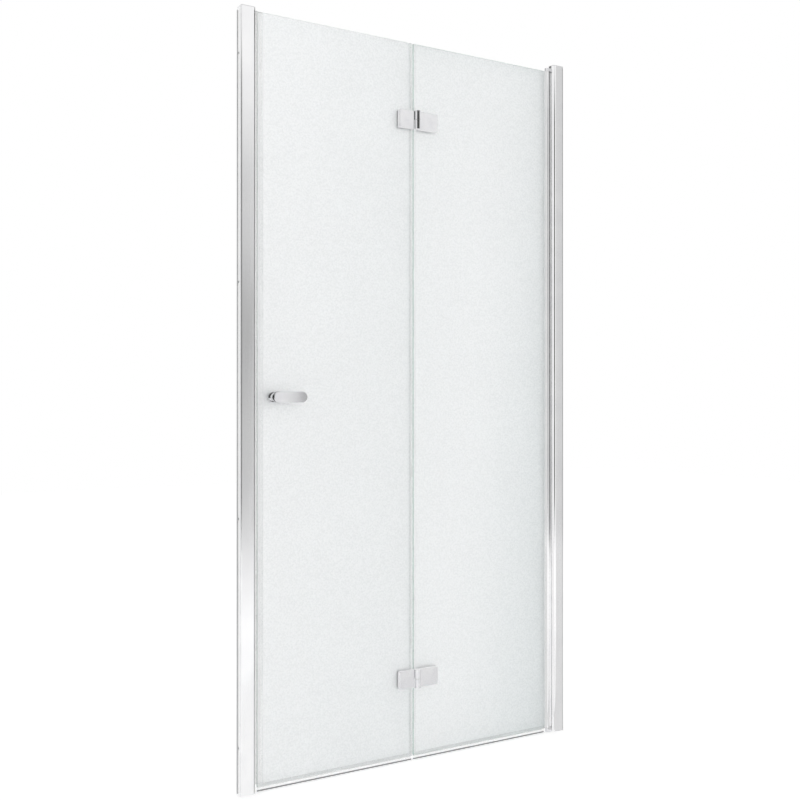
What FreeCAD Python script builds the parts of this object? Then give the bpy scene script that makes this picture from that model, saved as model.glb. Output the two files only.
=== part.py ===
import FreeCAD, Part
import os
import re

import Sketcher

# Pivot-fold shower door for a niche, in millimetres.
# +X runs from the strike wall to the hinge wall, +Y into the shower, +Z up.
# The origin lies on the tray, midway between the walls, in the middle plane of the closed glass.

SIZES = {
    # niche and wall profiles
    "niche_width": 1000,
    "post_height": 1920,
    "strike_drop": 14,
    "profile_width": 38,
    "profile_depth": 28,
    "profile_wall": 2,
    "profile_corner": 4,
    "post_corner": 10,
    "wall_gap": 1,
    "chamber_width": 3.5,
    "groove_width": 8,
    "groove_mouth": 5,
    "groove_lip": 1.6,
    "tongue_thickness": 2.5,
    "tongue_play": 0.15,
    "cap_thickness": 2,
    "cap_spigot": 8,
    "cap_edge": 0.6,
    # channels behind the profiles and their fixings
    "channel_wall": 2,
    "channel_play": 0.3,
    "adjust_room": 5,
    "wall_hole_diameter": 5.5,
    "fixing_shank_diameter": 3,
    "fixing_tip": 1.5,
    "fixing_head_diameter": 6.5,
    "fixing_head_height": 1.8,
    "cover_diameter": 10,
    "cover_height": 3,
    "cover_edge": 1,
    # panes
    "glass_thickness": 6,
    "glass_arris": 0.6,
    "hinged_reach": 4.8,
    "fold_gap": 5.6,
    # closing edge
    "carrier_depth": 3.8,
    "carrier_width": 11,
    "magnet_wall": 0.8,
    "nose_radius": 1.5,
    "strike_gap": 0.6,
    "leading_depth": 5.2,
    "leading_leg": 14.5,
    # seals on the glass
    "seal_leg_thickness": 1.2,
    "seal_web_thickness": 1.2,
    "seal_end_gap": 0.5,
    "bottom_leg": 8,
    "blade_thickness": 1.6,
    "tray_gap": 1,
    "skirt_reach": 5,
    "skirt_thickness": 1,
    "skirt_drop": 6,
    "fold_leg": 8.7,
    "fold_clearance": 0.3,
    "fin_lap": 5.8,
    "fin_tip": 0.6,
    # pivot on the hinge post
    "bottom_bearing_height": 12,
    "top_bearing_height": 9,
    "post_rise": 10,
    "pivot_gap": 4,
    "barrel_diameter": 14,
    "clamp_reach": 6,
    "inner_reach": 1.5,
    "clamp_wall": 1.4,
    "clamp_edge": 0.8,
    "glazing_thickness": 0.6,
    "glazing_web": 0.5,
    "slot_wall": 1.5,
    "pivot_pin_diameter": 6,
    "pivot_pin_reach": 22,
    "pin_end_wall": 2,
    "running_clearance": 0.05,
    "bush_wall": 1.5,
    "bush_length": 20,
    "bush_flange_diameter": 12.5,
    "bush_flange_thickness": 0.7,
    "end_clearance": 0.3,
    "pivot_seal_height": 0.5,
    "pivot_seal_width": 6,
    "set_screw_diameter": 4,
    "set_screw_play": 0.2,
    # glass hinges
    "hinge_inset": 205,
    "leaf_height": 48,
    "leaf_thickness": 10,
    "leaf_gasket": 1,
    "gasket_inset": 2,
    "axis_offset": 2,
    "knuckle_diameter": 16,
    "knuckle_clearance": 1,
    "knuckle_end": 2.5,
    "knuckle_web": 5,
    "folding_leaf_width": 45,
    "hinged_leaf_width": 56,
    "leaf_corner": 3,
    "leaf_edge": 1.2,
    "split_gap": 1,
    "washer_thickness": 0.7,
    "washer_wall": 2.5,
    "hinge_pin_diameter": 7,
    "hinge_bush_wall": 1.2,
    "plate_thickness": 5,
    "plate_edge": 1,
    "screw_diameter": 5,
    "screw_head_diameter": 10,
    "screw_spacing": 24,
    "screw_bite": 7,
    "screw_play": 0.1,
    "glass_hole_diameter": 12,
    # pulls
    "handle_height": 961,
    "handle_inset": 40.5,
    "handle_projection": 39,
    "handle_length": 90,
    "handle_width": 28,
    "handle_thickness": 6,
    "handle_front_edge": 1.5,
    "handle_back_edge": 1,
    "handle_post_diameter": 20,
    "rosette_diameter": 26,
    "rosette_thickness": 2.5,
    "handle_washer": 1,
    "stud_diameter": 8,
    "stud_reach": 20,
    # how far a cut runs past the face that it opens
    "overrun": 1,
}

# Heights of the wall holes and of the fixing screws, as shares of the profile that carries them.
WALL_HOLE_SHARES = (0.06, 0.35, 0.65, 0.94)
FIXING_SHARES = (0.08, 0.5, 0.92)

# Rounding of the profiles' corners at the wall, as a share of their wall thickness.
WALL_EDGE_SHARE = 0.9

# Places and fits that several pieces take from the sizes above.
PLACES = {
    "half_niche": "niche_width / 2",
    "strike_height": "post_height - strike_drop",
    "end_gap": "bush_flange_thickness + end_clearance",
    "glass_bottom": "bottom_bearing_height + end_gap",
    "top_bearing_top": "post_height - post_rise",
    "top_bearing_base": "top_bearing_top - top_bearing_height",
    "glass_top": "top_bearing_base - end_gap",
    "half_depth": "profile_depth / 2",
    "wall_edge": f"profile_wall * {WALL_EDGE_SHARE}",
    "half_glass": "glass_thickness / 2",
    "groove_depth": "post_corner + chamber_width",
    "web_back": "profile_width - groove_depth - profile_wall",
    "channel_tip": "web_back - adjust_room",
    "channel_half": "half_depth - profile_wall - channel_play",
    "channel_inner": "channel_half - channel_wall",
    "fixing_place": "channel_tip / 2",
    "tongue_front": "profile_width - groove_lip - tongue_play",
    "tongue_back": "tongue_front - tongue_thickness",
    "tongue_half": "groove_width / 2 - tongue_play",
    "neck_half": "groove_mouth / 2 - tongue_play",
    "post_face": "half_niche - profile_width",
    "leading_x": "post_face - carrier_depth - strike_gap - leading_depth",
    "folding_edge": "-hinged_reach - fold_gap",
    "seal_half": "half_glass + seal_leg_thickness",
    "seal_top": "glass_bottom + bottom_leg + seal_end_gap",
    "pivot_x": "post_face - pivot_gap - barrel_diameter / 2",
    "bush_diameter": "pivot_pin_diameter + 2 * running_clearance + 2 * bush_wall",
    "slot_end": "pivot_x - bush_diameter / 2 - slot_wall",
    "slot_half": "half_glass + glazing_thickness",
    "clamp_half": "slot_half + clamp_wall",
    "clamp_end": "pivot_x - barrel_diameter / 2 - clamp_reach",
    "inner_end": "pivot_x - barrel_diameter / 2 - inner_reach",
    "hinged_edge": "slot_end - glazing_web",
    "leaf_back": "half_glass + leaf_gasket",
    "leaf_front": "leaf_back + leaf_thickness",
    "fold_depth": "leaf_front + axis_offset",
    "leaf_inner": "knuckle_diameter / 2 + knuckle_clearance",
    "plate_back": "leaf_back + plate_thickness",
    "upper_hinge": "glass_top - hinge_inset",
    "lower_hinge": "glass_bottom + hinge_inset",
    "hinge_bush_diameter": "hinge_pin_diameter + 2 * running_clearance + 2 * hinge_bush_wall",
    "knuckle_bore": "leaf_height / 2 - split_gap / 2 - knuckle_end",
    "handle_x": "-leading_x + handle_inset",
    "handle_back": "half_glass + handle_washer",
    "handle_front": "half_glass + handle_projection",
    "plate_seat": "handle_front - handle_thickness",
}

XY = "XY_Plane"
XZ = "XZ_Plane"
YZ = "YZ_Plane"
NEAR = 1e-4

doc = FreeCAD.newDocument("ShowerDoor")
sheet = doc.addObject("Spreadsheet::Sheet", "Sizes")
for row, (alias, number) in enumerate(SIZES.items(), start=1):
    sheet.set(f"A{row}", alias)
    sheet.set(f"B{row}", str(number))
    sheet.setAlias(f"B{row}", alias)
doc.recompute()

nodes = []


def spell(text):
    """Write out an expression: places become their own expressions, sizes become cells of the sheet."""

    def word(found):
        name = found.group()
        if name in PLACES:
            return f"({spell(PLACES[name])})"
        return f"Sizes.{name}" if name in SIZES else name

    return re.sub(r"[a-z]\w*", word, text)


def value(text):
    """The number that an expression of sizes and places gives."""
    return float(sheet.evalExpression(spell(text)))


def bind(item, settings):
    """Tie properties of a document object to expressions."""
    for name, text in settings.items():
        item.setExpression(name, spell(text))


def keep(label, item):
    """Name a finished sub-part and list it for writing."""
    item.Label = label
    nodes.append(item)
    return item


def new_body(label=None):
    """An empty body, listed as a sub-part when it has a label."""
    body = doc.addObject("PartDesign::Body", "Body")
    return keep(label, body) if label else body


def group(label, members):
    """One sub-part that is a set of separate solids."""
    item = doc.addObject("Part::Compound", "Group")
    item.Links = members
    return keep(label, item)


def pin_point(item, curve, end, place):
    """Hold one point of a sketch at a place given as two expressions."""
    for kind, text in zip(("DistanceX", "DistanceY"), place):
        index = item.addConstraint(Sketcher.Constraint(kind, -1, 1, curve, end, value(text)))
        item.setExpression(f"Constraints[{index}]", spell(text))


def set_radius(item, curve, radius):
    """Hold the radius of a circle or an arc of a sketch."""
    index = item.addConstraint(Sketcher.Constraint("Radius", curve, value(radius)))
    item.setExpression(f"Constraints[{index}]", spell(radius))


def polygon(*points):
    """A closed outline with straight sides."""

    def draw(item):
        corners = [FreeCAD.Vector(value(x), value(y), 0) for x, y in points]
        sides = [
            item.addGeometry(Part.LineSegment(start, end), False)
            for start, end in zip(corners, corners[1:] + corners[:1])
        ]
        for side, after, place in zip(sides, sides[1:] + sides[:1], points):
            item.addConstraint(Sketcher.Constraint("Coincident", side, 2, after, 1))
            pin_point(item, side, 1, place)

    return draw


def rectangle(left, right, low, high):
    """A rectangular outline between two pairs of expressions."""
    return polygon((left, low), (right, low), (right, high), (left, high))


def circle(x, y, radius):
    """A round outline."""

    def draw(item):
        centre = FreeCAD.Vector(value(x), value(y), 0)
        curve = item.addGeometry(Part.Circle(centre, FreeCAD.Vector(0, 0, 1), value(radius)), False)
        pin_point(item, curve, 3, (x, y))
        set_radius(item, curve, radius)

    return draw


def stadium(left, right, y, radius):
    """An outline of two half circles about the given centres and the two straight sides between them."""

    def draw(item):
        up = FreeCAD.Vector(0, 1, 0)
        across = FreeCAD.Vector(1, 0, 0)
        ends = [FreeCAD.Vector(value(x), value(y), 0) for x in (left, right)]
        arcs = []
        for centre, side in zip(ends, (-1, 1)):
            low = centre - up * value(radius)
            tip = centre + across * value(radius) * side
            high = centre + up * value(radius)
            rim = Part.Arc(high, tip, low) if side < 0 else Part.Arc(low, tip, high)
            arcs.append(item.addGeometry(rim, False))
        floor = item.addGeometry(
            Part.LineSegment(ends[0] - up * value(radius), ends[1] - up * value(radius)), False
        )
        roof = item.addGeometry(
            Part.LineSegment(ends[1] + up * value(radius), ends[0] + up * value(radius)), False
        )
        for first, second in ((arcs[0], floor), (floor, arcs[1]), (arcs[1], roof), (roof, arcs[0])):
            item.addConstraint(Sketcher.Constraint("Tangent", first, 2, second, 1))
        for curve, x in zip(arcs, (left, right)):
            pin_point(item, curve, 3, (x, y))
        set_radius(item, arcs[0], radius)

    return draw


def sketch(body, role, origin, *outlines):
    """A sketch on one of the body's own planes, shifted by three expressions in that plane's axes."""
    item = body.newObject("Sketcher::SketchObject", "Sketch")
    plane = next(feature for feature in body.Origin.OriginFeatures if feature.Role == role)
    item.AttachmentSupport = [(plane, "")]
    item.MapMode = "FlatFace"
    bind(item, {f"AttachmentOffset.Base.{axis}": text for axis, text in zip("xyz", origin)})
    for draw in outlines:
        draw(item)
    doc.recompute()
    return item


def raised(height):
    """The shift of a sketch along its plane's normal alone."""
    return ("0", "0", height)


def pad(body, profile, length, back=False):
    """Extrude a sketch along its normal, or against it."""
    item = body.newObject("PartDesign::Pad", "Pad")
    item.Profile = profile
    item.Reversed = back
    bind(item, {"Length": length})
    doc.recompute()
    return item


def pocket(body, profile, length, back=False):
    """Cut a sketch against its normal, or along it, and make sure that it took material away."""
    before = body.Shape.Volume
    item = body.newObject("PartDesign::Pocket", "Pocket")
    item.Profile = profile
    item.Reversed = back
    bind(item, {"Length": length})
    doc.recompute()
    if body.Shape.Volume >= before - NEAR:
        raise RuntimeError(f"{body.Label}: {item.Name} cuts nothing")
    return item


def edges(item, test):
    """The names of the edges of a feature whose middle point and direction pass a test."""
    names = []
    for index, edge in enumerate(item.Shape.Edges, start=1):
        middle = edge.valueAt((edge.FirstParameter + edge.LastParameter) / 2)
        if test(edge, middle):
            names.append(f"Edge{index}")
    return names


def near(first, second):
    """Whether two coordinates are the same place."""
    return abs(first - second) < NEAR


def runs_along(edge, axis):
    """Whether an edge is straight and parallel to an axis."""
    if edge.Curve.TypeId != "Part::GeomLine":
        return False
    return near(abs(edge.tangentAt(edge.FirstParameter).dot(axis)), 1)


def dress(body, kind, base, names, size, amount):
    """Round or bevel named edges of a feature."""
    item = body.newObject(f"PartDesign::{kind}", kind)
    item.Base = (base, names)
    bind(item, {amount: size})
    doc.recompute()
    return item


def fillet(body, base, names, radius):
    """Round named edges."""
    return dress(body, "Fillet", base, names, radius, "Radius")


def chamfer(body, base, names, size):
    """Bevel named edges at 45 degrees."""
    return dress(body, "Chamfer", base, names, size, "Size")


def turned(role, origin, *points, label=None):
    """A body of revolution about the upright axis of a sketch, from (radius, height) points."""
    body = new_body(label)
    profile = sketch(body, role, origin, polygon(*points))
    item = body.newObject("PartDesign::Revolution", "Revolution")
    item.Profile = profile
    item.ReferenceAxis = (profile, ["V_Axis"])
    doc.recompute()
    return body


def turned_upright(x, y, *points, label=None):
    """A body of revolution about a vertical axis, with heights measured from the tray."""
    return turned(XZ, (x, "0", f"-({y})"), *points, label=label)


def turned_through(x, z, *points, label=None):
    """A body of revolution about an axis square to the glass, with depths measured from its middle."""
    return turned(XY, (x, "0", z), *points, label=label)


def ring(inner, outer, low, high):
    """The half section of a tube between two heights."""
    return ((inner, low), (outer, low), (outer, high), (inner, high))


def rod(radius, low, high):
    """The half section of a round bar between two heights."""
    return ring("0", radius, low, high)


UP = FreeCAD.Vector(0, 0, 1)
THROUGH = FreeCAD.Vector(0, 1, 0)


def from_wall(side, distance):
    """The place across the niche that lies a distance in from the strike wall (-1) or hinge wall (+1)."""
    return f"{side} * (half_niche - ({distance}))"


def wall_channel(label, side, height):
    """U channel that is screwed to the wall; the visible profile slides over it."""
    body = new_body(label)
    outline = [
        ("0", "-channel_half"),
        ("channel_tip", "-channel_half"),
        ("channel_tip", "-channel_inner"),
        ("channel_wall", "-channel_inner"),
        ("channel_wall", "channel_inner"),
        ("channel_tip", "channel_inner"),
        ("channel_tip", "channel_half"),
        ("0", "channel_half"),
    ]
    section = polygon(*((from_wall(side, distance), y) for distance, y in outline))
    pad(body, sketch(body, XY, raised("0"), section), f"{height} - cap_thickness")
    wall_holes = [
        circle("0", f"({height}) * {share}", "wall_hole_diameter / 2") for share in WALL_HOLE_SHARES
    ]
    face = sketch(body, YZ, raised(f"{side} * half_niche"), *wall_holes)
    pocket(body, face, "channel_wall + overrun", back=side < 0)
    pilot_holes = [
        circle(from_wall(side, "fixing_place"), f"({height}) * {share}", "fixing_shank_diameter / 2")
        for share in FIXING_SHARES
    ]
    flange = sketch(body, XZ, raised("-channel_half - overrun"), *pilot_holes)
    pocket(body, flange, "channel_wall + 2 * overrun", back=True)


def inner_corner(side):
    """The rounding on the inner side of a profile: tight on the strike, wide on the post."""
    return "profile_corner" if side < 0 else "post_corner"


def round_corners(body, bar, side):
    """Round the upright corners of a profile or its cap on the inner side and at the wall."""
    for distance, radius in (("profile_width", inner_corner(side)), ("wall_gap", "wall_edge")):
        place = value(from_wall(side, distance))
        corners = edges(
            bar,
            lambda edge, middle: runs_along(edge, UP)
            and near(middle.x, place)
            and near(abs(middle.y), value("half_depth")),
        )
        bar = fillet(body, bar, corners, radius)
    return bar


def wall_profile(label, side, height):
    """Visible extrusion: a U towards the wall, a T groove and two hollow corners on the inner face."""
    body = new_body(label)
    outline = [
        ("wall_gap", "-half_depth"),
        ("profile_width", "-half_depth"),
        ("profile_width", "-groove_mouth / 2"),
        ("profile_width - groove_lip", "-groove_mouth / 2"),
        ("profile_width - groove_lip", "-groove_width / 2"),
        ("profile_width - groove_depth", "-groove_width / 2"),
        ("profile_width - groove_depth", "groove_width / 2"),
        ("profile_width - groove_lip", "groove_width / 2"),
        ("profile_width - groove_lip", "groove_mouth / 2"),
        ("profile_width", "groove_mouth / 2"),
        ("profile_width", "half_depth"),
        ("wall_gap", "half_depth"),
        ("wall_gap", "half_depth - profile_wall"),
        ("web_back", "half_depth - profile_wall"),
        ("web_back", "-half_depth + profile_wall"),
        ("wall_gap", "-half_depth + profile_wall"),
    ]
    section = [polygon(*((from_wall(side, distance), y) for distance, y in outline))]
    for face in (-1, 1):
        section.append(
            rectangle(
                from_wall(side, "profile_width - groove_depth"),
                from_wall(side, f"profile_width - {inner_corner(side)}"),
                f"{face} * (groove_width / 2 + profile_wall)",
                f"{face} * (half_depth - profile_wall)",
            )
        )
    bar = pad(body, sketch(body, XY, raised("0"), *section), f"{height} - cap_thickness")
    round_corners(body, bar, side)
    holes = [
        circle(from_wall(side, "fixing_place"), f"({height}) * {share}", "fixing_shank_diameter / 2")
        for share in FIXING_SHARES
    ]
    inside = sketch(body, XZ, raised("-half_depth - overrun"), *holes)
    pocket(body, inside, "profile_wall + 2 * overrun", back=True)


def end_cap(label, side, height):
    """Cap on the top of a profile, with a spigot that plugs into its channel."""
    body = new_body(label)
    top = rectangle(
        from_wall(side, "wall_gap"), from_wall(side, "profile_width"), "-half_depth", "half_depth"
    )
    lid = pad(body, sketch(body, XY, raised(f"{height} - cap_thickness"), top), "cap_thickness")
    rounded = round_corners(body, lid, side)
    rim = edges(rounded, lambda edge, middle: near(middle.z, value(height)))
    fillet(body, rounded, rim, "cap_edge")
    plug = rectangle(
        from_wall(side, "channel_wall + channel_play"),
        from_wall(side, "channel_tip"),
        "-channel_inner + channel_play",
        "channel_inner - channel_play",
    )
    pad(body, sketch(body, XY, raised(f"{height} - cap_thickness"), plug), "cap_spigot", back=True)


def fixing_screws(label, side, height):
    """Pan head screws that lock the profile on its channel, driven from inside the shower."""
    tip = "channel_inner - fixing_tip"
    screws = [
        turned_through(
            from_wall(side, "fixing_place"),
            f"({height}) * {share}",
            ("0", tip),
            ("fixing_shank_diameter / 2", tip),
            ("fixing_shank_diameter / 2", "half_depth"),
            ("fixing_head_diameter / 2", "half_depth"),
            ("fixing_head_diameter / 2", "half_depth + fixing_head_height"),
            ("0", "half_depth + fixing_head_height"),
        )
        for share in FIXING_SHARES
    ]
    group(label, screws)


def screw_covers(label, side, height):
    """Round snap caps over the fixing screws, bevelled at the front."""
    crown = "half_depth + cover_height"
    covers = [
        turned_through(
            from_wall(side, "fixing_place"),
            f"({height}) * {share}",
            ("fixing_head_diameter / 2", "half_depth"),
            ("cover_diameter / 2", "half_depth"),
            ("cover_diameter / 2", f"{crown} - cover_edge"),
            ("cover_diameter / 2 - cover_edge", crown),
            ("0", crown),
            ("0", "half_depth + fixing_head_height"),
            ("fixing_head_diameter / 2", "half_depth + fixing_head_height"),
        )
        for share in FIXING_SHARES
    ]
    group(label, covers)


def tongue(side, head=()):
    """Outline of a T tongue in the groove of a profile, with extra points for what it carries outside."""
    points = [
        ("profile_width", "-neck_half"),
        ("tongue_front", "-neck_half"),
        ("tongue_front", "-tongue_half"),
        ("tongue_back", "-tongue_half"),
        ("tongue_back", "tongue_half"),
        ("tongue_front", "tongue_half"),
        ("tongue_front", "neck_half"),
        ("profile_width", "neck_half"),
    ]
    return polygon(*((from_wall(side, distance), y) for distance, y in points + list(head)))


def block_head(depth, width):
    """Corners of a strip's head that stands proud of the groove."""
    return (
        ("profile_width", f"({width}) / 2"),
        (f"profile_width + {depth}", f"({width}) / 2"),
        (f"profile_width + {depth}", f"-({width}) / 2"),
        ("profile_width", f"-({width}) / 2"),
    )


def round_nose(body, strip, place):
    """Round the two long corners of a strip's head where it meets what closes against it."""
    corners = edges(
        strip,
        lambda edge, middle: runs_along(edge, UP)
        and near(middle.x, value(place))
        and near(abs(middle.y), value("carrier_width / 2")),
    )
    fillet(body, strip, corners, "nose_radius")


def strike_magnet():
    """Clear strip in the groove of the strike profile, with a magnetic bar in its hollow head."""
    hollow = rectangle(
        from_wall(-1, "profile_width + magnet_wall"),
        from_wall(-1, "profile_width + carrier_depth - magnet_wall"),
        "-carrier_width / 2 + magnet_wall",
        "carrier_width / 2 - magnet_wall",
    )
    height = "strike_height - cap_thickness"
    carrier = new_body("strike_magnet_carrier")
    head = block_head("carrier_depth", "carrier_width")
    strip = pad(carrier, sketch(carrier, XY, raised("0"), tongue(-1, head), hollow), height)
    round_nose(carrier, strip, from_wall(-1, "profile_width + carrier_depth"))
    bar = new_body("strike_magnet_bar")
    pad(bar, sketch(bar, XY, raised("0"), hollow), height)


def pivot_seal():
    """Bright strip that fills the groove of the post, in lengths below and above the top bearing."""
    section = tongue(1, block_head("pivot_seal_height", "pivot_seal_width"))
    spans = (
        ("bottom_bearing_height + seal_end_gap", "top_bearing_base - seal_end_gap"),
        ("top_bearing_top + seal_end_gap", "post_height - cap_thickness"),
    )
    lengths = []
    for low, high in spans:
        body = new_body()
        pad(body, sketch(body, XY, raised(low), section), f"({high}) - ({low})")
        lengths.append(body)
    group("pivot_seal", lengths)


def bearing(label, low, high, pin_low, pin_high):
    """Bearing block: a round boss on the pivot axis, a neck to the post and a tongue in its groove."""
    body = new_body(label)
    height = f"({high}) - ({low})"
    boss = circle("pivot_x", "0", "barrel_diameter / 2")
    pad(body, sketch(body, XY, raised(low), boss), height)
    neck = rectangle("pivot_x", "post_face", "-barrel_diameter / 2", "barrel_diameter / 2")
    pad(body, sketch(body, XY, raised(low), neck), height)
    pad(body, sketch(body, XY, raised(low), tongue(1)), height)
    seat = circle("pivot_x", "0", "pivot_pin_diameter / 2")
    pocket(body, sketch(body, XY, raised(pin_high), seat), f"({pin_high}) - ({pin_low})")
    lock = circle("pivot_x", f"(({low}) + ({high})) / 2", "set_screw_diameter / 2")
    side = sketch(body, XZ, raised("-barrel_diameter / 2 - overrun"), lock)
    pocket(body, side, "barrel_diameter / 2", back=True)


def pivot_hardware():
    """Bearings at both ends of the post, their pins, the screws that lock the pins, and the bushes."""
    bottom_seat = "pin_end_wall"
    bottom_face = "bottom_bearing_height"
    top_seat = "top_bearing_top - pin_end_wall"
    bearing("bottom_bearing", "0", bottom_face, bottom_seat, bottom_face)
    bearing("top_bearing", "top_bearing_base", "top_bearing_top", "top_bearing_base", top_seat)
    pin = "pivot_pin_diameter / 2"
    bottom_pin = rod(pin, bottom_seat, f"{bottom_face} + pivot_pin_reach")
    turned_upright("pivot_x", "0", *bottom_pin, label="bottom_pivot_pin")
    top_pin = rod(pin, "top_bearing_base - pivot_pin_reach", top_seat)
    turned_upright("pivot_x", "0", *top_pin, label="top_pivot_pin")
    screw_end = "barrel_diameter / 2 - set_screw_play"
    screw = rod("set_screw_diameter / 2", f"{pin} + set_screw_play", screw_end)
    screws = [
        turned_through("pivot_x", f"({middle}) / 2", *screw)
        for middle in ("bottom_bearing_height", "top_bearing_base + top_bearing_top")
    ]
    group("pivot_set_screws", screws)
    bore = f"{pin} + running_clearance"
    bushes = [
        turned_upright(
            "pivot_x",
            "0",
            (bore, f"{end} - {inward} * bush_flange_thickness"),
            ("bush_flange_diameter / 2", f"{end} - {inward} * bush_flange_thickness"),
            ("bush_flange_diameter / 2", end),
            ("bush_diameter / 2", end),
            ("bush_diameter / 2", f"{end} + {inward} * bush_length"),
            (bore, f"{end} + {inward} * bush_length"),
        )
        for end, inward in (("glass_bottom", 1), ("glass_top", -1))
    ]
    group("pivot_bushes", bushes)


def pivot_profile():
    """Chrome extrusion on the pivot axis: a bored barrel with a clamp slot, its inner jaw shorter."""
    body = new_body("pivot_profile")
    height = "glass_top - glass_bottom"
    barrel = circle("pivot_x", "0", "barrel_diameter / 2")
    pad(body, sketch(body, XY, raised("glass_bottom"), barrel), height)
    clamp = polygon(
        ("clamp_end", "-clamp_half"),
        ("pivot_x", "-clamp_half"),
        ("pivot_x", "clamp_half"),
        ("inner_end", "clamp_half"),
        ("inner_end", "0"),
        ("clamp_end", "0"),
    )
    jaws = pad(body, sketch(body, XY, raised("glass_bottom"), clamp), height)
    lips = edges(
        jaws,
        lambda edge, middle: runs_along(edge, UP)
        and near(middle.x, value("clamp_end" if middle.y < 0 else "inner_end"))
        and near(abs(middle.y), value("clamp_half")),
    )
    fillet(body, jaws, lips, "clamp_edge")
    slot = rectangle("clamp_end - overrun", "slot_end", "-slot_half", "slot_half")
    pocket(body, sketch(body, XY, raised("glass_top"), slot), height)
    bore = circle("pivot_x", "0", "bush_diameter / 2")
    pocket(body, sketch(body, XY, raised("glass_top"), bore), height)


def glazing_gasket():
    """U gasket that wraps the edge of the hinged pane inside the clamp."""
    body = new_body("glazing_gasket")
    section = polygon(
        ("clamp_end", "-slot_half"),
        ("slot_end", "-slot_half"),
        ("slot_end", "slot_half"),
        ("inner_end", "slot_half"),
        ("inner_end", "half_glass"),
        ("hinged_edge", "half_glass"),
        ("hinged_edge", "-half_glass"),
        ("clamp_end", "-half_glass"),
    )
    pad(body, sketch(body, XY, raised("glass_bottom"), section), "glass_top - glass_bottom")


def leaf_hole_x(side):
    """Where the screws of a hinge leaf pass the glass, from the width of the leaf on that side."""
    width = "folding_leaf_width" if side < 0 else "hinged_leaf_width"
    return f"{side} * (leaf_inner + {width} / 2)"


def leaf_hole_places(side, hinges=("upper_hinge", "lower_hinge")):
    """The places of the leaf screws on one pane."""
    return [
        (leaf_hole_x(side), f"{hinge} + {step} * screw_spacing / 2") for hinge in hinges for step in (-1, 1)
    ]


def pane(label, left, right, side, more_holes=()):
    """Glass pane with arrised edges and the holes for its hinge screws."""
    body = new_body(label)
    section = rectangle(left, right, "-half_glass", "half_glass")
    sheet_glass = pad(body, sketch(body, XY, raised("glass_bottom"), section), "glass_top - glass_bottom")
    rim = edges(sheet_glass, lambda edge, middle: near(abs(middle.y), value("half_glass")))
    chamfer(body, sheet_glass, rim, "glass_arris")
    holes = [circle(x, z, "glass_hole_diameter / 2") for x, z in leaf_hole_places(side) + list(more_holes)]
    pocket(
        body, sketch(body, XZ, raised("half_glass + overrun"), *holes), "glass_thickness + 2 * overrun"
    )


def bottom_seal(label, left, right):
    """Clip-on seal under a pane: a U over the edge, a blade to the tray and a drip skirt inside."""
    body = new_body(label)
    base = "glass_bottom - seal_web_thickness"
    section = polygon(
        ("-seal_half", "glass_bottom + bottom_leg"),
        ("-half_glass", "glass_bottom + bottom_leg"),
        ("-half_glass", "glass_bottom"),
        ("half_glass", "glass_bottom"),
        ("half_glass", "glass_bottom + bottom_leg"),
        ("seal_half", "glass_bottom + bottom_leg"),
        ("seal_half", base),
        ("seal_half + skirt_reach", f"{base} - skirt_drop"),
        ("seal_half + skirt_reach - skirt_thickness", f"{base} - skirt_drop"),
        ("seal_half - skirt_thickness", base),
        ("blade_thickness / 2", base),
        ("blade_thickness / 2", "tray_gap"),
        ("-blade_thickness / 2", "tray_gap"),
        ("-blade_thickness / 2", base),
        ("-seal_half", base),
    )
    pad(body, sketch(body, YZ, raised(left), section), f"({right}) - ({left})")


def fold_seal():
    """Clear seal on the folding pane, with a fin over the hinged one, in lengths clear of the hinges."""
    edge = "folding_edge"
    leg_end = f"{edge} - fold_leg"
    web = f"{edge} + seal_web_thickness"
    tip = "-hinged_reach + fin_lap"
    fin_back = "-half_glass - fold_clearance"
    section = polygon(
        (leg_end, "-seal_half"),
        (web, "-seal_half"),
        (tip, f"{fin_back} - fin_tip"),
        (tip, fin_back),
        (web, fin_back),
        (web, "seal_half"),
        (leg_end, "seal_half"),
        (leg_end, "half_glass"),
        (edge, "half_glass"),
        (edge, "-half_glass"),
        (leg_end, "-half_glass"),
    )
    clear = "(leaf_height / 2 + seal_end_gap)"
    spans = (
        ("seal_top", f"lower_hinge - {clear}"),
        (f"lower_hinge + {clear}", f"upper_hinge - {clear}"),
        (f"upper_hinge + {clear}", "glass_top"),
    )
    lengths = []
    for low, high in spans:
        body = new_body()
        pad(body, sketch(body, XY, raised(low), section), f"({high}) - ({low})")
        lengths.append(body)
    group("fold_seal", lengths)


def leading_edge():
    """Clip-on seal of the closing edge, with a magnetic bar in its head."""
    edge = "-leading_x"
    tip = f"{edge} - leading_depth"
    clip = polygon(
        (tip, "-carrier_width / 2"),
        (edge, "-carrier_width / 2"),
        (edge, "-seal_half"),
        (f"{edge} + leading_leg", "-seal_half"),
        (f"{edge} + leading_leg", "-half_glass"),
        (edge, "-half_glass"),
        (edge, "half_glass"),
        (f"{edge} + leading_leg", "half_glass"),
        (f"{edge} + leading_leg", "seal_half"),
        (edge, "seal_half"),
        (edge, "carrier_width / 2"),
        (tip, "carrier_width / 2"),
    )
    hollow = rectangle(
        f"{tip} + magnet_wall",
        f"{edge} - seal_web_thickness",
        "-carrier_width / 2 + magnet_wall",
        "carrier_width / 2 - magnet_wall",
    )
    height = "glass_top - (seal_top)"
    seal = new_body("leading_edge_seal")
    strip = pad(seal, sketch(seal, XY, raised("seal_top"), clip, hollow), height)
    round_nose(seal, strip, tip)
    bar = new_body("leading_magnet_bar")
    pad(bar, sketch(bar, XY, raised("seal_top"), hollow), height)


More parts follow.
